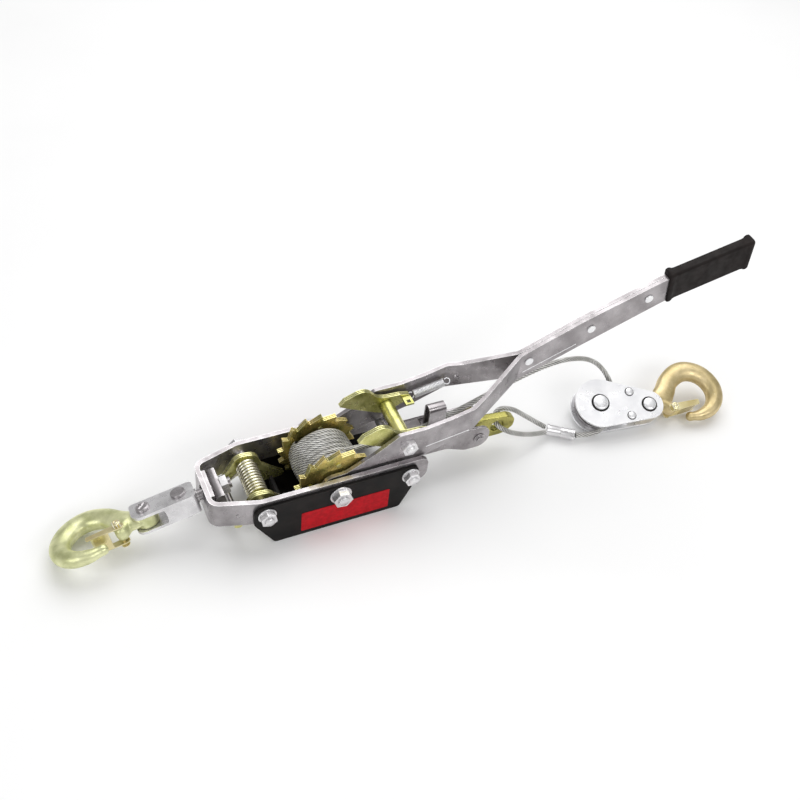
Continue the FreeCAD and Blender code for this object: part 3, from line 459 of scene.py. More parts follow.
def swept(paths, radius, sides=8):
    """Round tubes along several paths, capped, with UVs along and round them."""
    corners, faces, uvs = [], [], []
    for path in paths:
        start = len(corners)
        travelled = [0.0]
        for i, (point, (_, side, across)) in enumerate(zip(path, carried(path))):
            if i:
                travelled.append(travelled[-1] + (point - path[i - 1]).length)
            for k in range(sides):
                corners.append(point + radius * spoke(2 * math.pi * k / sides, side, across))
        for i in range(len(path) - 1):
            for k in range(sides):
                here, beside = start + i * sides + k, start + i * sides + (k + 1) % sides
                faces.append((here, beside, beside + sides, here + sides))
                lower, upper = k / sides, (k + 1) / sides
                near, far = travelled[i], travelled[i + 1]
                uvs += [(near, lower), (near, upper), (far, upper), (far, lower)]
        last = start + (len(path) - 1) * sides
        faces.append(tuple(range(start, start + sides))[::-1])
        faces.append(tuple(range(last, last + sides)))
        uvs += [(0.0, 0.0)] * (2 * sides)
    mesh = bpy.data.meshes.new("swept")
    mesh.from_pydata(corners, [], faces)
    mesh.uv_layers.new(name="along").data.foreach_set("uv", [number for pair in uvs for number in pair])
    return smoothly(mesh, TUBE_SHARP)


def smooth_line(route):
    """Evenly spaced points read from the NURBS spline whose control points are the route."""
    curve = bpy.data.curves.new("line", "CURVE")
    curve.dimensions = "3D"
    curve.resolution_u = 32
    spline = curve.splines.new("NURBS")
    spline.points.add(len(route) - 1)
    for point, place in zip(spline.points, route):
        point.co = (*place, 1.0)
    spline.use_endpoint_u = True
    spline.order_u = 3
    holder = linked("line", curve)
    line = bpy.data.meshes.new_from_object(holder)
    read = [v.co.copy() for v in line.vertices]
    bpy.data.objects.remove(holder)
    bpy.data.meshes.remove(line)
    return evened(read, LINE_SPACING)


def evened(points, spacing):
    """The same line with points a fixed distance apart."""
    made, left = [points[0].copy()], spacing
    for before, after in zip(points, points[1:]):
        run = (after - before).length
        while run > NO_LENGTH and left <= run:
            before = before.lerp(after, left / run)
            run = (after - before).length
            made.append(before.copy())
            left = spacing
        left -= run
    if (made[-1] - points[-1]).length > SHORTEST_STEP * spacing:
        made.append(points[-1].copy())
    return made


def coil_path(start, axis, radius, turns, length, steps=20):
    """A helix round axis from start, with some steps to a turn."""
    axis, side, across = round_axis(axis)
    path = []
    for i in range(int(turns * steps) + 1):
        share = i / (turns * steps)
        angle = 2 * math.pi * turns * share
        path.append(start + axis * (length * share) + radius * spoke(angle, side, across))
    return path


def on_face(node, x, z):
    """The place on a CAD node's nearest face, seen from the side that carries the nuts."""
    shape = cleaned(node)
    tree = BVHTree.FromBMesh(shape)
    shape.free()
    return tree.ray_cast(Vector((x, -1.0, z)), -NEAR)[0]


# ================================================================ small hardware
THREAD_PITCH = 1.5 * MM
THREAD_ROWS = 6  # rows of corners to a pitch
THREAD_SIDES = 28
THREAD_DEPTH = 0.45  # of the pitch
THREAD_CHAMFER = 0.8 * MM
PEEN_RINGS, PEEN_SIDES = 14, 64
PEEN_JOIN = 1e-6
PEEN_SUNK = 0.05 * MM
CROSS_WIDTH, CROSS_REACH, CROSS_DEPTH = 0.16, 0.72, 0.9  # of the head's radius, radius and crown


def turned_profile(name, centre, axis, profile, material, body, sides=40):
    """A turned piece: (radius, height) pairs from its foot to its crown, round axis from centre."""
    axis, side, across = round_axis(axis)
    shape = bmesh.new()
    rings = []
    for radius, height in profile:
        places = (centre + axis * height + radius * spoke(2 * math.pi * k / sides, side, across)
                  for k in range(sides))
        rings.append([shape.verts.new(place) for place in places])
    closed_band(shape, rings)
    return piece_from_mesh(name, smoothly(mesh_of(shape, name), TURNED_SHARP), material, body)


def threaded_end(name, centre, axis, radius, length, material, body):
    """The screw thread on a bolt's free end, with a chamfered tip."""
    axis, side, across = round_axis(axis)
    sides = THREAD_SIDES
    rows = int(length / (THREAD_PITCH / THREAD_ROWS))
    corners, faces = [], []
    for i in range(rows + 1):
        height = length * i / rows
        chamfer = max(0.0, height - (length - THREAD_CHAMFER))
        for k in range(sides):
            turn = k / sides
            phase = (height / THREAD_PITCH - turn) % 1.0
            groove = THREAD_DEPTH * THREAD_PITCH * abs(2 * phase - 1)
            reach = min(radius - groove, radius - chamfer)
            corners.append(centre + axis * height + reach * spoke(2 * math.pi * turn, side, across))
    for i in range(rows):
        for k in range(sides):
            here, beside = i * sides + k, i * sides + (k + 1) % sides
            faces.append((here, beside, beside + sides, here + sides))
    faces.append(tuple(range(sides))[::-1])
    faces.append(tuple(range(rows * sides, (rows + 1) * sides)))
    mesh = bpy.data.meshes.new(name)
    mesh.from_pydata(corners, [], faces)
    piece_from_mesh(name, smoothly(mesh, THREAD_SHARP), material, body)


def peened_head(name, centre, axis, radius, crown_height, material, body):
    """A rivet head closed with a cross-shaped peening mark."""
    axis, side, across = round_axis(axis)
    shape = bmesh.new()
    rings = []
    for i in range(PEEN_RINGS + 1):
        reach = radius * (1 - i / PEEN_RINGS)
        crown = crown_height * math.sqrt(max(0.0, 1 - (reach / radius) ** 2))
        ring = []
        for k in range(PEEN_SIDES):
            angle = 2 * math.pi * k / PEEN_SIDES
            x, y = reach * math.cos(angle), reach * math.sin(angle)
            crossed = reach < CROSS_REACH * radius
            groove = max(0.0, 1 - min(abs(x), abs(y)) / (CROSS_WIDTH * radius)) if crossed else 0.0
            ring.append(shape.verts.new(
                centre + axis * (crown - CROSS_DEPTH * crown_height * groove) + x * side + y * across))
        rings.append(ring)
    band(shape, rings)
    bmesh.ops.remove_doubles(shape, verts=shape.verts, dist=PEEN_JOIN)
    piece_from_mesh(name, smoothly(mesh_of(shape, name)), material, body)


# ================================================================ frame, guard and label
PUNCH_AT = (-0.108, 0.0485)
THREAD_INSIDE = 0.3 * MM


def build_frame():
    softened("frame_strap", ZINC, 0.8 * MM, 3)
    softened("front_backing_plate", ZINC, 0.6 * MM)
    softened("drum_guard", BLACK, 0.7 * MM, 3)
    softened("guard_cross_bar", BLACK, 0.5 * MM)
    softened("side_labels", RED, 0.12 * MM, 1)
    for node in ("drum_axle_bolt", "frame_bolts", "frame_washers", "rear_spacers"):
        softened(node, SATIN, 0.4 * MM)
    for node in ("drum_axle_nut", "frame_bolt_nuts"):
        softened(node, SATIN, 0.5 * MM)
    peened_head("strap_punch", on_face("frame_strap", *PUNCH_AT), NEAR, 2.8 * MM, 0.5 * MM, ZINC, "frame")


def build_threads():
    """Screw threads where each bolt comes through its nut; each radius is in millimetres."""
    for name, joint, nut, bolt, radius in (
            ("axle", "drum_spin", "drum_axle_nut", "drum_axle_bolt", 6.05),
            ("front_bolt", "holding_pawl_pivot", "frame_bolt_nuts", "frame_bolts", 5.05),
            ("rear_bolt", "bracket_pivot", "frame_bolt_nuts", "frame_bolts", 5.05),
            ("lever_bolt", "drive_pawl_pivot", "drive_pawl_nut", "drive_pawl_bolt", 5.05)):
        centre = Vector(joints[joint]["pos_m"])
        centre.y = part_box(nut)[0].y + THREAD_INSIDE
        length = centre.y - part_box(bolt)[0].y + THREAD_INSIDE
        threaded_end("thread_" + name, centre, NEAR, radius * MM, length, SATIN, body_of[bolt])


# ================================================================ drum, wheels and pawls
DRUM_TURNS = 7.1
TURN_STEPS = 120
TURN_SPACING = 1.4 * MM
WINDING_LIFT = 0.3 * MM
WINDING_BULGE, WINDING_RIPPLE, WINDING_SWAY = 1.6 * MM, 0.5 * MM, 1.5 * MM
RIPPLES, SWAY_PHASE = 5.3 / 6, 0.8
STRAND_SIDES = 9
TORSION_WIRE, TORSION_TURNS = 1.3 * MM, 11.0
TORSION_LEG_ABOVE_BAR = 4.2 * MM
TORSION_FOOT = Vector((15, 0, -14)) * MM
LEG_STEPS = 8
PULL_WIRE = 0.75 * MM
PULL_TURN = 2.08  # wire radii to a turn
PULL_HOOK_ROOM, PULL_HOOK_RADIUS, PULL_HOOK_OUT = 3 * MM, 3.4 * MM, 3.6 * MM
PULL_HOOK_FROM, PULL_HOOK_SWEEP, PULL_HOOK_STEPS = -40, 290, 14  # degrees, degrees and count


def rope_mesh(points):
    """A six-strand rope with a core along a line of points; "height" is how far out each corner lies."""
    mesh = swept(strand_paths(points) + [points], STRAND_SHARE * ROPE_RADIUS, STRAND_SIDES)
    height = mesh.attributes.new("height", "FLOAT", "POINT")
    for i, vertex in enumerate(mesh.vertices):
        centre = points[(i // STRAND_SIDES) % len(points)]
        height.data[i].value = (vertex.co - centre).length / ROPE_RADIUS
    return mesh


def build_drum():
    softened("drum_core", ZINC, 0.4 * MM)
    softened("wheel_rivets", YELLOW, 0.3 * MM)
    for node in ("ratchet_wheel_near", "ratchet_wheel_far"):
        laminated(node, GOLD_TOOTH)
    low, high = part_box("rope_winding")
    reach = (high.z - low.z) / 2 - ROPE_RADIUS + WINDING_LIFT
    first, last = low.y + ROPE_RADIUS, high.y - ROPE_RADIUS
    points = []
    steps = int(DRUM_TURNS * TURN_STEPS)
    for i in range(steps + 1):
        share = i / steps
        angle = 2 * math.pi * DRUM_TURNS * share
        bulge = WINDING_BULGE * math.sin(math.pi * share) + WINDING_RIPPLE * math.sin(RIPPLES * angle)
        sway = WINDING_SWAY * math.sin(angle + SWAY_PHASE) * math.sin(math.pi * share)
        y = first + (last - first) * share + sway
        radius = reach + bulge
        points.append(AXLE + Vector((-radius * math.cos(angle), y, radius * math.sin(angle))))
    piece_from_mesh("rope_turns", rope_mesh(evened(points, TURN_SPACING)), WIRE, "drum", "rope_winding")


def build_pawls():
    for node in ("holding_pawl_near", "holding_pawl_far", "drive_pawl_near", "drive_pawl_far"):
        laminated(node, YELLOW)
    for node in ("holding_pawl_tube", "drive_pawl_tube", "drive_pawl_tab"):
        softened(node, YELLOW, 0.3 * MM)
    softened("holding_pawl_release_bar", ZINC, 0.3 * MM)
    build_torsion_spring()
    build_pull_spring()


def build_torsion_spring():
    """The coil round the holding pawl's tube, with a leg on the release bar and one on the guard."""
    low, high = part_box("holding_pawl_spring")
    pivot = Vector(joints["holding_pawl_pivot"]["pos_m"])
    wire = TORSION_WIRE
    radius = (high.z - low.z) / 2 - wire
    start = Vector((pivot.x, low.y + wire, pivot.z))
    coil = coil_path(start, -NEAR, radius, TORSION_TURNS, high.y - low.y - 2 * wire)
    bar_low, bar_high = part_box("holding_pawl_release_bar")
    bar = (bar_low + bar_high) / 2
    leg_end = Vector((bar.x, coil[-1].y, bar.z + TORSION_LEG_ABOVE_BAR))
    leg = [coil[-1].lerp(leg_end, k / LEG_STEPS) for k in range(1, LEG_STEPS + 1)]
    foot_end = coil[0] + TORSION_FOOT
    foot = [foot_end.lerp(coil[0], k / LEG_STEPS) for k in range(LEG_STEPS)]
    mesh = swept([foot + coil + leg], wire, 10)
    piece_from_mesh("torsion_coil", mesh, SPRING, "holding_pawl", "holding_pawl_spring")


def build_pull_spring():
    """The close-wound spring from the drive pawl's tail to the far arm, hooked at both ends."""
    one, other, radius = node_axis("drive_pawl_spring")
    tail, arm = (one, other) if one.x < other.x else (other, one)
    wire = PULL_WIRE
    along = (arm - tail).normalized()
    body_from, body_to = tail + PULL_HOOK_ROOM * along, arm - PULL_HOOK_ROOM * along
    length = (body_to - body_from).length
    coil = coil_path(body_from, along, radius - wire, length / (PULL_TURN * wire), length, steps=16)
    side = along.orthogonal().normalized()
    hooks = []
    for end, outward in ((body_from, -along), (body_to, along)):
        loop = []
        for k in range(PULL_HOOK_STEPS + 1):
            angle = math.radians(PULL_HOOK_FROM + PULL_HOOK_SWEEP * k / PULL_HOOK_STEPS)
            out = PULL_HOOK_OUT + PULL_HOOK_RADIUS * math.sin(angle)
            loop.append(end + outward * out + side * PULL_HOOK_RADIUS * math.cos(angle))
        hooks.append(loop)
    mesh = swept([coil] + hooks, wire, 8)
    spring = piece_from_mesh("pull_coil", mesh, BRIGHT, None, "drive_pawl_spring")
    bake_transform(spring)


# ================================================================ lever and grip
def build_lever():
    for node in ("lever_arm_near", "lever_arm_far"):
        softened(node, ZINC, 0.7 * MM, 3)
    softened("lever_rivets", BRIGHT, 0.5 * MM)
    softened("drive_pawl_bolt", SATIN, 0.4 * MM)
    softened("drive_pawl_nut", SATIN, 0.5 * MM)
    build_arm_lines()
    build_grip()


ARM_LINES = {"lower": ((0.100, 0.0775), (0.150, 0.0855)), "upper": ((0.226, 0.1185), (0.288, 0.1425))}
ARM_LINE_STEPS = 24


def build_arm_lines():
    """The fine rolled line along the near arm's outer face, on each side of its crank."""
    steps = ARM_LINE_STEPS
    for name, ((x0, z0), (x1, z1)) in ARM_LINES.items():
        line = [on_face("lever_arm_near", x0 + (x1 - x0) * k / steps, z0 + (z1 - z0) * k / steps)
                for k in range(steps + 1)]
        piece_from_mesh(f"arm_line_{name}", swept([line], 0.55 * MM, 8), BRIGHT, "lever")


# The grip's lower and upper edge at each end, its lips as (share of the length, inset) and its dished end as
# (inset, depth, corner); insets, depths and corners are in millimetres.
GRIP_START = (Vector((0.3945, 0, 0.1745)), Vector((0.3895, 0, 0.2155)))
GRIP_END = (Vector((0.4958, 0, 0.1985)), Vector((0.4930, 0, 0.2395)))
GRIP_LIPS = [(0.0, 2.0), (0.012, 0.6), (0.035, 0.2), (0.055, 0.6), (0.072, 1.4), (0.10, 1.7), (0.30, 1.7),
             (0.70, 1.7), (0.90, 1.7), (0.928, 1.4), (0.945, 0.6), (0.965, 0.2), (0.988, 0.6), (1.0, 2.0)]
GRIP_DISH = ((4.0, 0.0, 2.0), (4.6, -1.6, 1.6))
GRIP_CORNER = 3.0
CORNER_STEPS = 6


def grip_section(share, inset_mm, along_mm=0.0, corner_mm=GRIP_CORNER):
    """A round-cornered section of the grip, share of the way along, drawn in by an inset."""
    inset, along, corner = inset_mm * MM, along_mm * MM, corner_mm * MM
    low, high = (first.lerp(last, share) for first, last in zip(GRIP_START, GRIP_END))
    up = (high - low).normalized()
    forward = up.cross(NEAR)
    box_low, box_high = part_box("hand_grip")
    half_width = (box_high.y - box_low.y) / 2 - inset
    half_height = (high - low).length / 2 - inset
    ring = []
    for quarter, (across, rise) in enumerate(((1, 1), (-1, 1), (-1, -1), (1, -1))):
        for k in range(CORNER_STEPS + 1):
            angle = math.radians(90 * (quarter + k / CORNER_STEPS))
            y = across * (half_width - corner) + corner * math.cos(angle)
            z = rise * (half_height - corner) + corner * math.sin(angle)
            ring.append((low + high) / 2 + along * forward + Vector((0, y, 0)) + z * up)
    return ring


def build_grip():
    """The moulded sleeve: a flat-sided grip with a rolled lip at each end and a dished end face."""
    sections = [grip_section(share, inset) for share, inset in GRIP_LIPS]
    sections += [grip_section(1.0, *dish) for dish in GRIP_DISH]
    shape = bmesh.new()
    closed_band(shape, [[shape.verts.new(place) for place in section] for section in sections])
    bmesh.ops.recalc_face_normals(shape, faces=shape.faces)
    mesh = smoothly(mesh_of(shape, "grip"), TURNED_SHARP)
    weigh_normals(piece_from_mesh("moulded_grip", mesh, RUBBER, "lever", "hand_grip"))


# ================================================================ brackets, swivel, yoke and hooks
def build_anchor():
    for node in ("anchor_bracket_plates", "rope_guide", "anchor_pin"):
        softened(node, ZINC, 0.4 * MM)
    forged("anchor_hook", OLIVE, 0.7 * MM)


# A hook's latch pin, and its sections as (along, back, half width, half thickness), in millimetres from its
# eye. EYE_DISCS are (share of the eye's half thickness, radius), and LATCH_CAP is (radius, height).
HOOK_PIN = (26.5, -11.5)
HOOK_LINE = [
    (3, 0, 10.6, 5.8), (13, 1.5, 12.6, 6.8), (21, 4, 12.8, 8.0), (29, 11, 11.8, 8.8), (38, 20.5, 11.2, 9.0),
    (53, 27, 11.7, 9.2), (67, 25, 11.4, 9.2), (79, 15.5, 11.0, 9.2), (85, 0.5, 10.6, 9.0), (82, -14, 9.6, 8.8),
    (72, -23.5, 8.2, 8.0), (59, -26.6, 6.6, 6.8), (49.5, -25.6, 5.0, 5.4), (45, -24.6, 5.3, 5.5),
    (42, -23.8, 4.2, 4.4), (40.6, -23.4, 1.5, 1.6),
]
HOOK_LUG = [(19, 0, 8.0, 7.6), (24, -7, 7.4, 8.4), (26.5, -11.5, 6.4, 8.6), (28.5, -15.0, 3.0, 5.0)]
HOOK_ROW_STEPS = 7
HOOK_SIDES = 28
EYE_CENTRE_PART = 5 * MM
EYE_DISCS = ((1.0, 10.9), (0.6, 11.0))
EYE_SEGMENTS = 48
CAP_SUNK = 0.3 * MM
LATCH_CAP = [(4.3, 0.0), (4.3, 0.7), (3.7, 1.05), (2.4, 1.05), (2.1, 0.75), (1.8, 1.1), (0.2, 1.2)]


class HookFrame:
    """A hook's own axes, worked out from its two pivots: along it, towards its back, and up its pivot."""

    def __init__(self, end, flip):
        self.eye = Vector(joints[f"{end}_hook_pivot"]["pos_m"])
        self.up = Vector(joints[f"{end}_hook_pivot"]["axis"]).normalized()
        arm = Vector(joints[f"{end}_latch_pivot"]["pos_m"]) - self.eye
        arm -= arm.dot(self.up) * self.up
        turn = math.atan2(flip * HOOK_PIN[1], HOOK_PIN[0])
        self.along = Quaternion(self.up, -turn) @ arm.normalized()
        self.back = flip * self.up.cross(self.along)
        self.scale = arm.length / math.hypot(*HOOK_PIN)

    def place(self, u, v):
        """The place u millimetres along and v towards the back."""
        return self.eye + self.scale * (u * self.along + v * self.back)


def smooth_rows(rows):
    """Rows of numbers drawn out into a smooth run through them."""
    steps = HOOK_ROW_STEPS
    made = []
    for i in range(len(rows) - 1):
        before, here, there, after = (rows[min(max(k, 0), len(rows) - 1)] for k in (i - 1, i, i + 1, i + 2))
        for k in range(steps):
            t = k / steps
            made.append(tuple(
                0.5 * (2 * b + (c - a) * t + (2 * a - 5 * b + 4 * c - d) * t * t
                       + (3 * b - a - 3 * c + d) * t ** 3)
                for a, b, c, d in zip(before, here, there, after)))
    return made + [rows[-1]]


def oval_run(shape, hook, rows):
    """A closed run of oval sections along a hook: (along, back, half width, half thickness) in millimetres."""
    rings = []
    rows = smooth_rows(rows)
    for i, (u, v, half_width, half_thickness) in enumerate(rows):
        ahead, behind = rows[min(i + 1, len(rows) - 1)], rows[max(i - 1, 0)]
        heading = (hook.place(*ahead[:2]) - hook.place(*behind[:2])).normalized()
        across = hook.up.cross(heading)
        ring = []
        for k in range(HOOK_SIDES):
            angle = 2 * math.pi * k / HOOK_SIDES
            ring.append(shape.verts.new(
                hook.place(u, v) + hook.scale * half_width * math.cos(angle) * across
                + hook.scale * half_thickness * math.sin(angle) * hook.up))
        rings.append(ring)
    closed_band(shape, rings)


def build_hook(end, flip, material):
    """A forged hook: round-sectioned bowl with a small ball at its tip, a lug for the latch and a flat eye."""
    node = f"{end}_hook"
    hook = HookFrame(end, flip)
    eye_half = max(abs((v.co - hook.eye).dot(hook.up)) for v in nodes[node].data.vertices
                   if (v.co - hook.eye).dot(hook.along) < EYE_CENTRE_PART)
    shape = bmesh.new()
    oval_run(shape, hook, HOOK_LINE)
    oval_run(shape, hook, HOOK_LUG)
    turn = Matrix((hook.along, hook.back, hook.up)).transposed().to_4x4()
    for share, reach in EYE_DISCS:
        bmesh.ops.create_cone(shape, cap_ends=True, segments=EYE_SEGMENTS, radius1=reach * hook.scale,
                              radius2=reach * hook.scale, depth=2 * share * eye_half,
                              matrix=Matrix.Translation(hook.eye) @ turn)
    bmesh.ops.recalc_face_normals(shape, faces=shape.faces)
    mesh = rounded_solid(mesh_of(shape, "hook"), 0.8 * MM)
    piece_from_mesh(f"forged_{node}", mesh, material, body_of[node], node)
    latch = f"{end}_latch"
    softened(latch, LATCH, 0.4 * MM)
    softened(f"{latch}_pin", LATCH, 0.3 * MM)
    pin = Vector(joints[f"{latch}_pivot"]["pos_m"])
    for side, way in (("top", hook.up), ("foot", -hook.up)):
        foot = pin + (reach_of(f"{latch}_pin", pin, way) - CAP_SUNK) * way
        profile = [(radius * MM, height * MM) for radius, height in LATCH_CAP]
        turned_profile(f"{latch}_cap_{side}", foot, way, profile, LATCH, body_of[node])


def build_front():
    softened("swivel_rocker", ZINC, 0.6 * MM)
    softened("swivel_stud", ZINC, 0.4 * MM)
    softened("swivel_nut", SATIN, 0.5 * MM)
    softened("hook_yoke", SATIN, 0.6 * MM, 3)
    softened("yoke_pin_bolt", ZINC, 0.6 * MM)
    softened("yoke_pin_nut", SATIN, 0.5 * MM)
    softened("hook_rivet", ZINC, 0.5 * MM)
    axis = Vector(joints["front_hook_pivot"]["axis"])
    pivot = Vector(joints["front_hook_pivot"]["pos_m"])
    top = pivot + (reach_of("hook_rivet", pivot, axis) - PEEN_SUNK) * axis
    peened_head("hook_rivet_peening", top, axis, 6.9 * MM, 1.1 * MM, ZINC, "yoke")
    build_hook("front", -1.0, PALE_GOLD)


PLATE_SUNK = 0.1 * MM
HEAD_PROUD = 0.4 * MM
# widths of the dark rings round the stud and rivet heads, which are painted shadow
STUD_SHADOW_RING, STUD_SLACK = 2.0 * MM, 0.1 * MM
RIVET_HEAD, RIVET_SHADOW_RING = 4.6 * MM, 0.9 * MM
RIVET_AHEAD = 37 * MM
DOME = [(1.0, 0.0), (1.0, 0.6), (0.88, 0.86), (0.6, 0.98), (0.02, 1.0)]  # shares of the radius and height


def node_head_radius(node, centre):
    """How far a stud of the block reaches from its own axis."""
    offsets = [v.co - centre for v in nodes[node].data.vertices]
    return max((offset - offset.dot(BLOCK_UP) * BLOCK_UP).length for offset in offsets)


def head_with_painted_shadow(name, centre, way, reach, ring, height):
    """A domed rivet or stud head with a dark ring round it, which is painted shadow."""
    shadow_ring = [(reach + ring, 0.0), (reach + ring, 0.3 * MM),
            (reach + 0.6 * ring, 0.5 * MM), (reach - MM, 0.5 * MM)]
    # the dark ring is a painted shadow round the head
    turned_profile(f"{name}_ring", centre, way, shadow_ring, SHADE, "block")
    dome = [(across * reach, rise * height) for across, rise in DOME]
    turned_profile(f"{name}_head", centre, way, dome, BRIGHT, "block")


def build_block():
    for node in ("block_plate_upper", "block_plate_lower"):
        softened(node, BRIGHT, 0.6 * MM, 3)
    for node in ("block_rivets", "sheave_axle", "block_hook_pin"):
        softened(node, BRIGHT, 0.7 * MM, 3)
    softened("sheave", ZINC, 0.4 * MM)
    hook_pin = Vector(joints["rear_hook_pivot"]["pos_m"])
    for side, way, plate in (("top", BLOCK_UP, "block_plate_upper"), ("foot", -BLOCK_UP, "block_plate_lower")):
        face = reach_of(plate, SHEAVE, way) - PLATE_SUNK
        for node, centre in (("sheave_axle", SHEAVE), ("block_hook_pin", hook_pin)):
            height = reach_of(node, centre, way) - face + HEAD_PROUD
            reach = node_head_radius(node, centre) + STUD_SLACK
            head_with_painted_shadow(f"{node}_{side}", centre + face * way, way, reach, STUD_SHADOW_RING, height)
        for k, offset in enumerate(BLOCK_RIVETS):
            centre = SHEAVE + RIVET_AHEAD * BLOCK_FORWARD + offset * MM * BLOCK_SIDE
            height = reach_of("block_rivets", SHEAVE, way) - face + HEAD_PROUD
            head_with_painted_shadow(f"block_rivet{k}_{side}", centre + face * way, way, RIVET_HEAD, RIVET_SHADOW_RING, height)
    build_hook("rear", 1.0, TAN_GOLD)


LATCH_WIRE, LATCH_COIL_INSET, LATCH_TURNS = 0.5 * MM, 0.55 * MM, 2.5


def build_latch_springs():
    for end in ("front", "rear"):
        node = f"{end}_latch_spring"
        one, other, radius = node_axis(node)
        coil = coil_path(one, other - one, radius - LATCH_COIL_INSET, LATCH_TURNS, (other - one).length)
        piece_from_mesh(f"{end}_latch_coil", swept([coil], LATCH_WIRE, 8), SPRING, f"{end}_latch", node)


# ================================================================ the free rope
# Routes hold the control points of each rope's smooth line. BLOCK_RIVETS are millimetres off the block's
# middle, LEAD_IN_STEPS millimetres from the route's start, and FERRULE_PROFILE shares of radius and length.
SHEAVE = Vector(joints["sheave_spin"]["pos_m"])
BLOCK_UP = Vector(joints["sheave_spin"]["axis"]).normalized()
BLOCK_FORWARD = (Vector(joints["rear_hook_pivot"]["pos_m"]) - SHEAVE).normalized()
BLOCK_SIDE = BLOCK_UP.cross(BLOCK_FORWARD)
BLOCK_RIVETS = (15, -15)
WRAP_DEGREES = (30.0, -5.0, -40.0, -75.0)
WRAP_RADIUS = 23.35 * MM / math.cos(math.radians(17.5))

ROPE_TO_GUIDE = [
    (0.0265, -0.0125, 0.0760), (0.0480, -0.0110, 0.0720), (0.0720, -0.0085, 0.0680),
    (0.0990, -0.0040, 0.0660), (0.1270, 0.0000, 0.0675),
]
GUIDE_TO_SHEAVE = [
    (0.1270, 0.0000, 0.0675), (0.1560, 0.0030, 0.0725), (0.1880, 0.0065, 0.0800), (0.2220, 0.0090, 0.0900),
    (0.2560, 0.0115, 0.0975), (0.2880, 0.0150, 0.0980), (0.3200, 0.0195, 0.0880), (0.3460, 0.0240, 0.0700),
    (0.3645, 0.0240, 0.0490), (0.3725, 0.0145, 0.0335),
]
SHEAVE_TO_FERRULE = [(0.3280, -0.0345, 0.0095), (0.3060, -0.0270, 0.0082)]
EYE_LOOP = [
    (0.2765, -0.0115, 0.0085), (0.2560, -0.0140, 0.0140), (0.2360, -0.0150, 0.0230),
    (0.2180, -0.0125, 0.0315), (0.2060, 0.0000, 0.0380), (0.2150, 0.0135, 0.0445),
    (0.2360, 0.0140, 0.0380), (0.2560, 0.0070, 0.0225), (0.2765, -0.0045, 0.0098),
]
LEAD_IN_STEPS = ((-26, -1.5, 0.4), (-14, -1.2, 3.6), (3, 0.2, -0.6))
FERRULE_PROFILE = [
    (0.84, 0.0), (1.0, 0.012), (1.0, 0.06), (0.93, 0.11), (0.92, 0.44), (0.88, 0.46),
    (0.88, 0.52), (0.92, 0.54), (0.92, 0.88), (1.0, 0.94), (1.0, 0.988), (0.84, 1.0),
]


def sheave_wrap():
    """The route's corners round the sheave."""
    corners = []
    for angle in WRAP_DEGREES:
        x, y = (WRAP_RADIUS * f(math.radians(angle)) for f in (math.cos, math.sin))
        corners.append(tuple(SHEAVE + x * BLOCK_FORWARD + y * BLOCK_SIDE))
    return corners


def free_rope(name, route, stands_for):
    """One stretch of free rope: six strands round the route's smooth line."""
    line = smooth_line(route)
    piece = piece_from_mesh(name, rope_mesh(line), WIRE, None)
    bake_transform(piece)
    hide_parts(stands_for)


def build_rope():
    ferrule = build_ferrule()
    build_lead_in()
    free_rope("rope_to_guide", ROPE_TO_GUIDE,
              "free_rope")
    free_rope("rope_round_sheave", GUIDE_TO_SHEAVE + sheave_wrap() + SHEAVE_TO_FERRULE,
              "free_rope")
    free_rope("rope_eye_loop", EYE_LOOP,
              "rope_eye")


def build_lead_in():
    """The rope where it leaves the winding's top for the guide."""
    start = Vector(ROPE_TO_GUIDE[0])
    line = smooth_line([start + Vector(step) * MM for step in LEAD_IN_STEPS])
    piece_from_mesh("rope_lead_in", rope_mesh(line), WIRE, "frame")


def build_ferrule():
    """The swaged sleeve: a round tube with pressed waists and rolled ends."""
    one, other, radius = node_axis("rope_ferrule")
    axis = other - one
    profile = [(across * radius, rise * axis.length) for across, rise in FERRULE_PROFILE]
    piece = turned_profile("swaged_ferrule", one, axis, profile, SATIN, "block", 48)
    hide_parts("rope_ferrule")
    return piece


# ================================================================ floor, light and camera
FLOOR_HALF = 6.0
FLOOR_BELOW = 0.2 * MM
WORLD_STRENGTH = 0.42
LIGHTS = (  # name, place, aim, size, watts
    ("overhead", (0.6, 0.9, 1.9), (0.1, 0, 0), (2.4, 2.0), 34),
    ("left", (-1.5, -0.6, 1.0), (0, 0, 0.05), (0.9, 0.9), 7),
    ("near", (0.5, -1.5, 1.3), (0.1, 0, 0.05), (1.6, 0.6), 10),
)


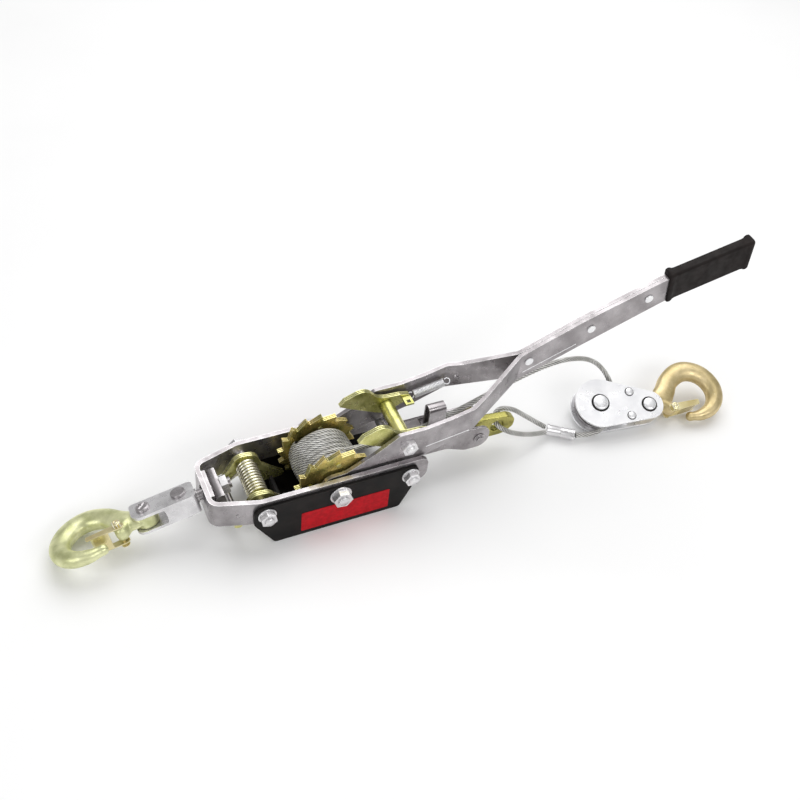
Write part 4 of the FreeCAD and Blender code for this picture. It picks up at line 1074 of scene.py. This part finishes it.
def build_stage():
    mesh = bpy.data.meshes.new("floor")
    corners = [(x * FLOOR_HALF, y * FLOOR_HALF, 0) for x, y in ((-1, -1), (1, -1), (1, 1), (-1, 1))]
    mesh.from_pydata(corners, [], [(0, 1, 2, 3)])
    floor = linked("floor", mesh)
    floor.location.z = -FLOOR_BELOW
    material, tree, shader = new_material("floor")
    tree.links.new(ramp(tree, noise_field(tree, 3.0), [(0.3, (0.90, 0.90, 0.90)), (0.7, (0.93, 0.93, 0.93))]),
                   shader.inputs["Base Color"])
    shader.inputs["Roughness"].default_value = 0.8
    mesh.materials.append(material)


def area_light(name, place, aim, size, power):
    light = bpy.data.lights.new(name, "AREA")
    light.shape = "RECTANGLE"
    light.size, light.size_y = size
    light.energy = power
    lamp = linked(name, light)
    lamp.location = place
    lamp.rotation_mode = "QUATERNION"
    lamp.rotation_quaternion = (Vector(aim) - Vector(place)).to_track_quat("-Z", "Y")


def build_lights():
    world = bpy.data.worlds.new("studio")
    world.use_nodes = True
    background = world.node_tree.nodes["Background"]
    background.inputs["Color"].default_value = (1.0, 1.0, 1.0, 1.0)
    background.inputs["Strength"].default_value = WORLD_STRENGTH
    bpy.context.scene.world = world
    bpy.context.scene.view_settings.view_transform = "Standard"
    for light in LIGHTS:
        area_light(*light)


CAMERA_AT = Vector((-0.318, -0.724, 0.997))
CAMERA_AZIMUTH, CAMERA_ELEVATION, CAMERA_ROLL = (math.radians(a) for a in (-28.90, 46.71, 7.43))
CAMERA_LENS, CAMERA_SENSOR = 51.6, 36.0  # millimetres
CAMERA_CLIP = (0.05, 50.0)


def build_camera():
    data = bpy.data.cameras.new("camera")
    data.lens = CAMERA_LENS
    data.sensor_width = CAMERA_SENSOR
    data.clip_start, data.clip_end = CAMERA_CLIP
    camera = linked("camera", data)
    a, e = CAMERA_AZIMUTH, CAMERA_ELEVATION
    back = Vector((math.sin(a) * math.cos(e), -math.cos(a) * math.cos(e), math.sin(e)))
    level = Vector((math.cos(a), math.sin(a), 0.0))
    right = Quaternion(back, CAMERA_ROLL) @ level
    up = back.cross(right)
    camera.matrix_world = Matrix.Translation(CAMERA_AT) @ Matrix((right, up, back)).transposed().to_4x4()
    bpy.context.scene.camera = camera


build_camera()
build_lights()
build_stage()
build_rope()
build_frame()
build_threads()
build_drum()
build_pawls()
build_lever()
build_anchor()
build_front()
build_block()
build_latch_springs()
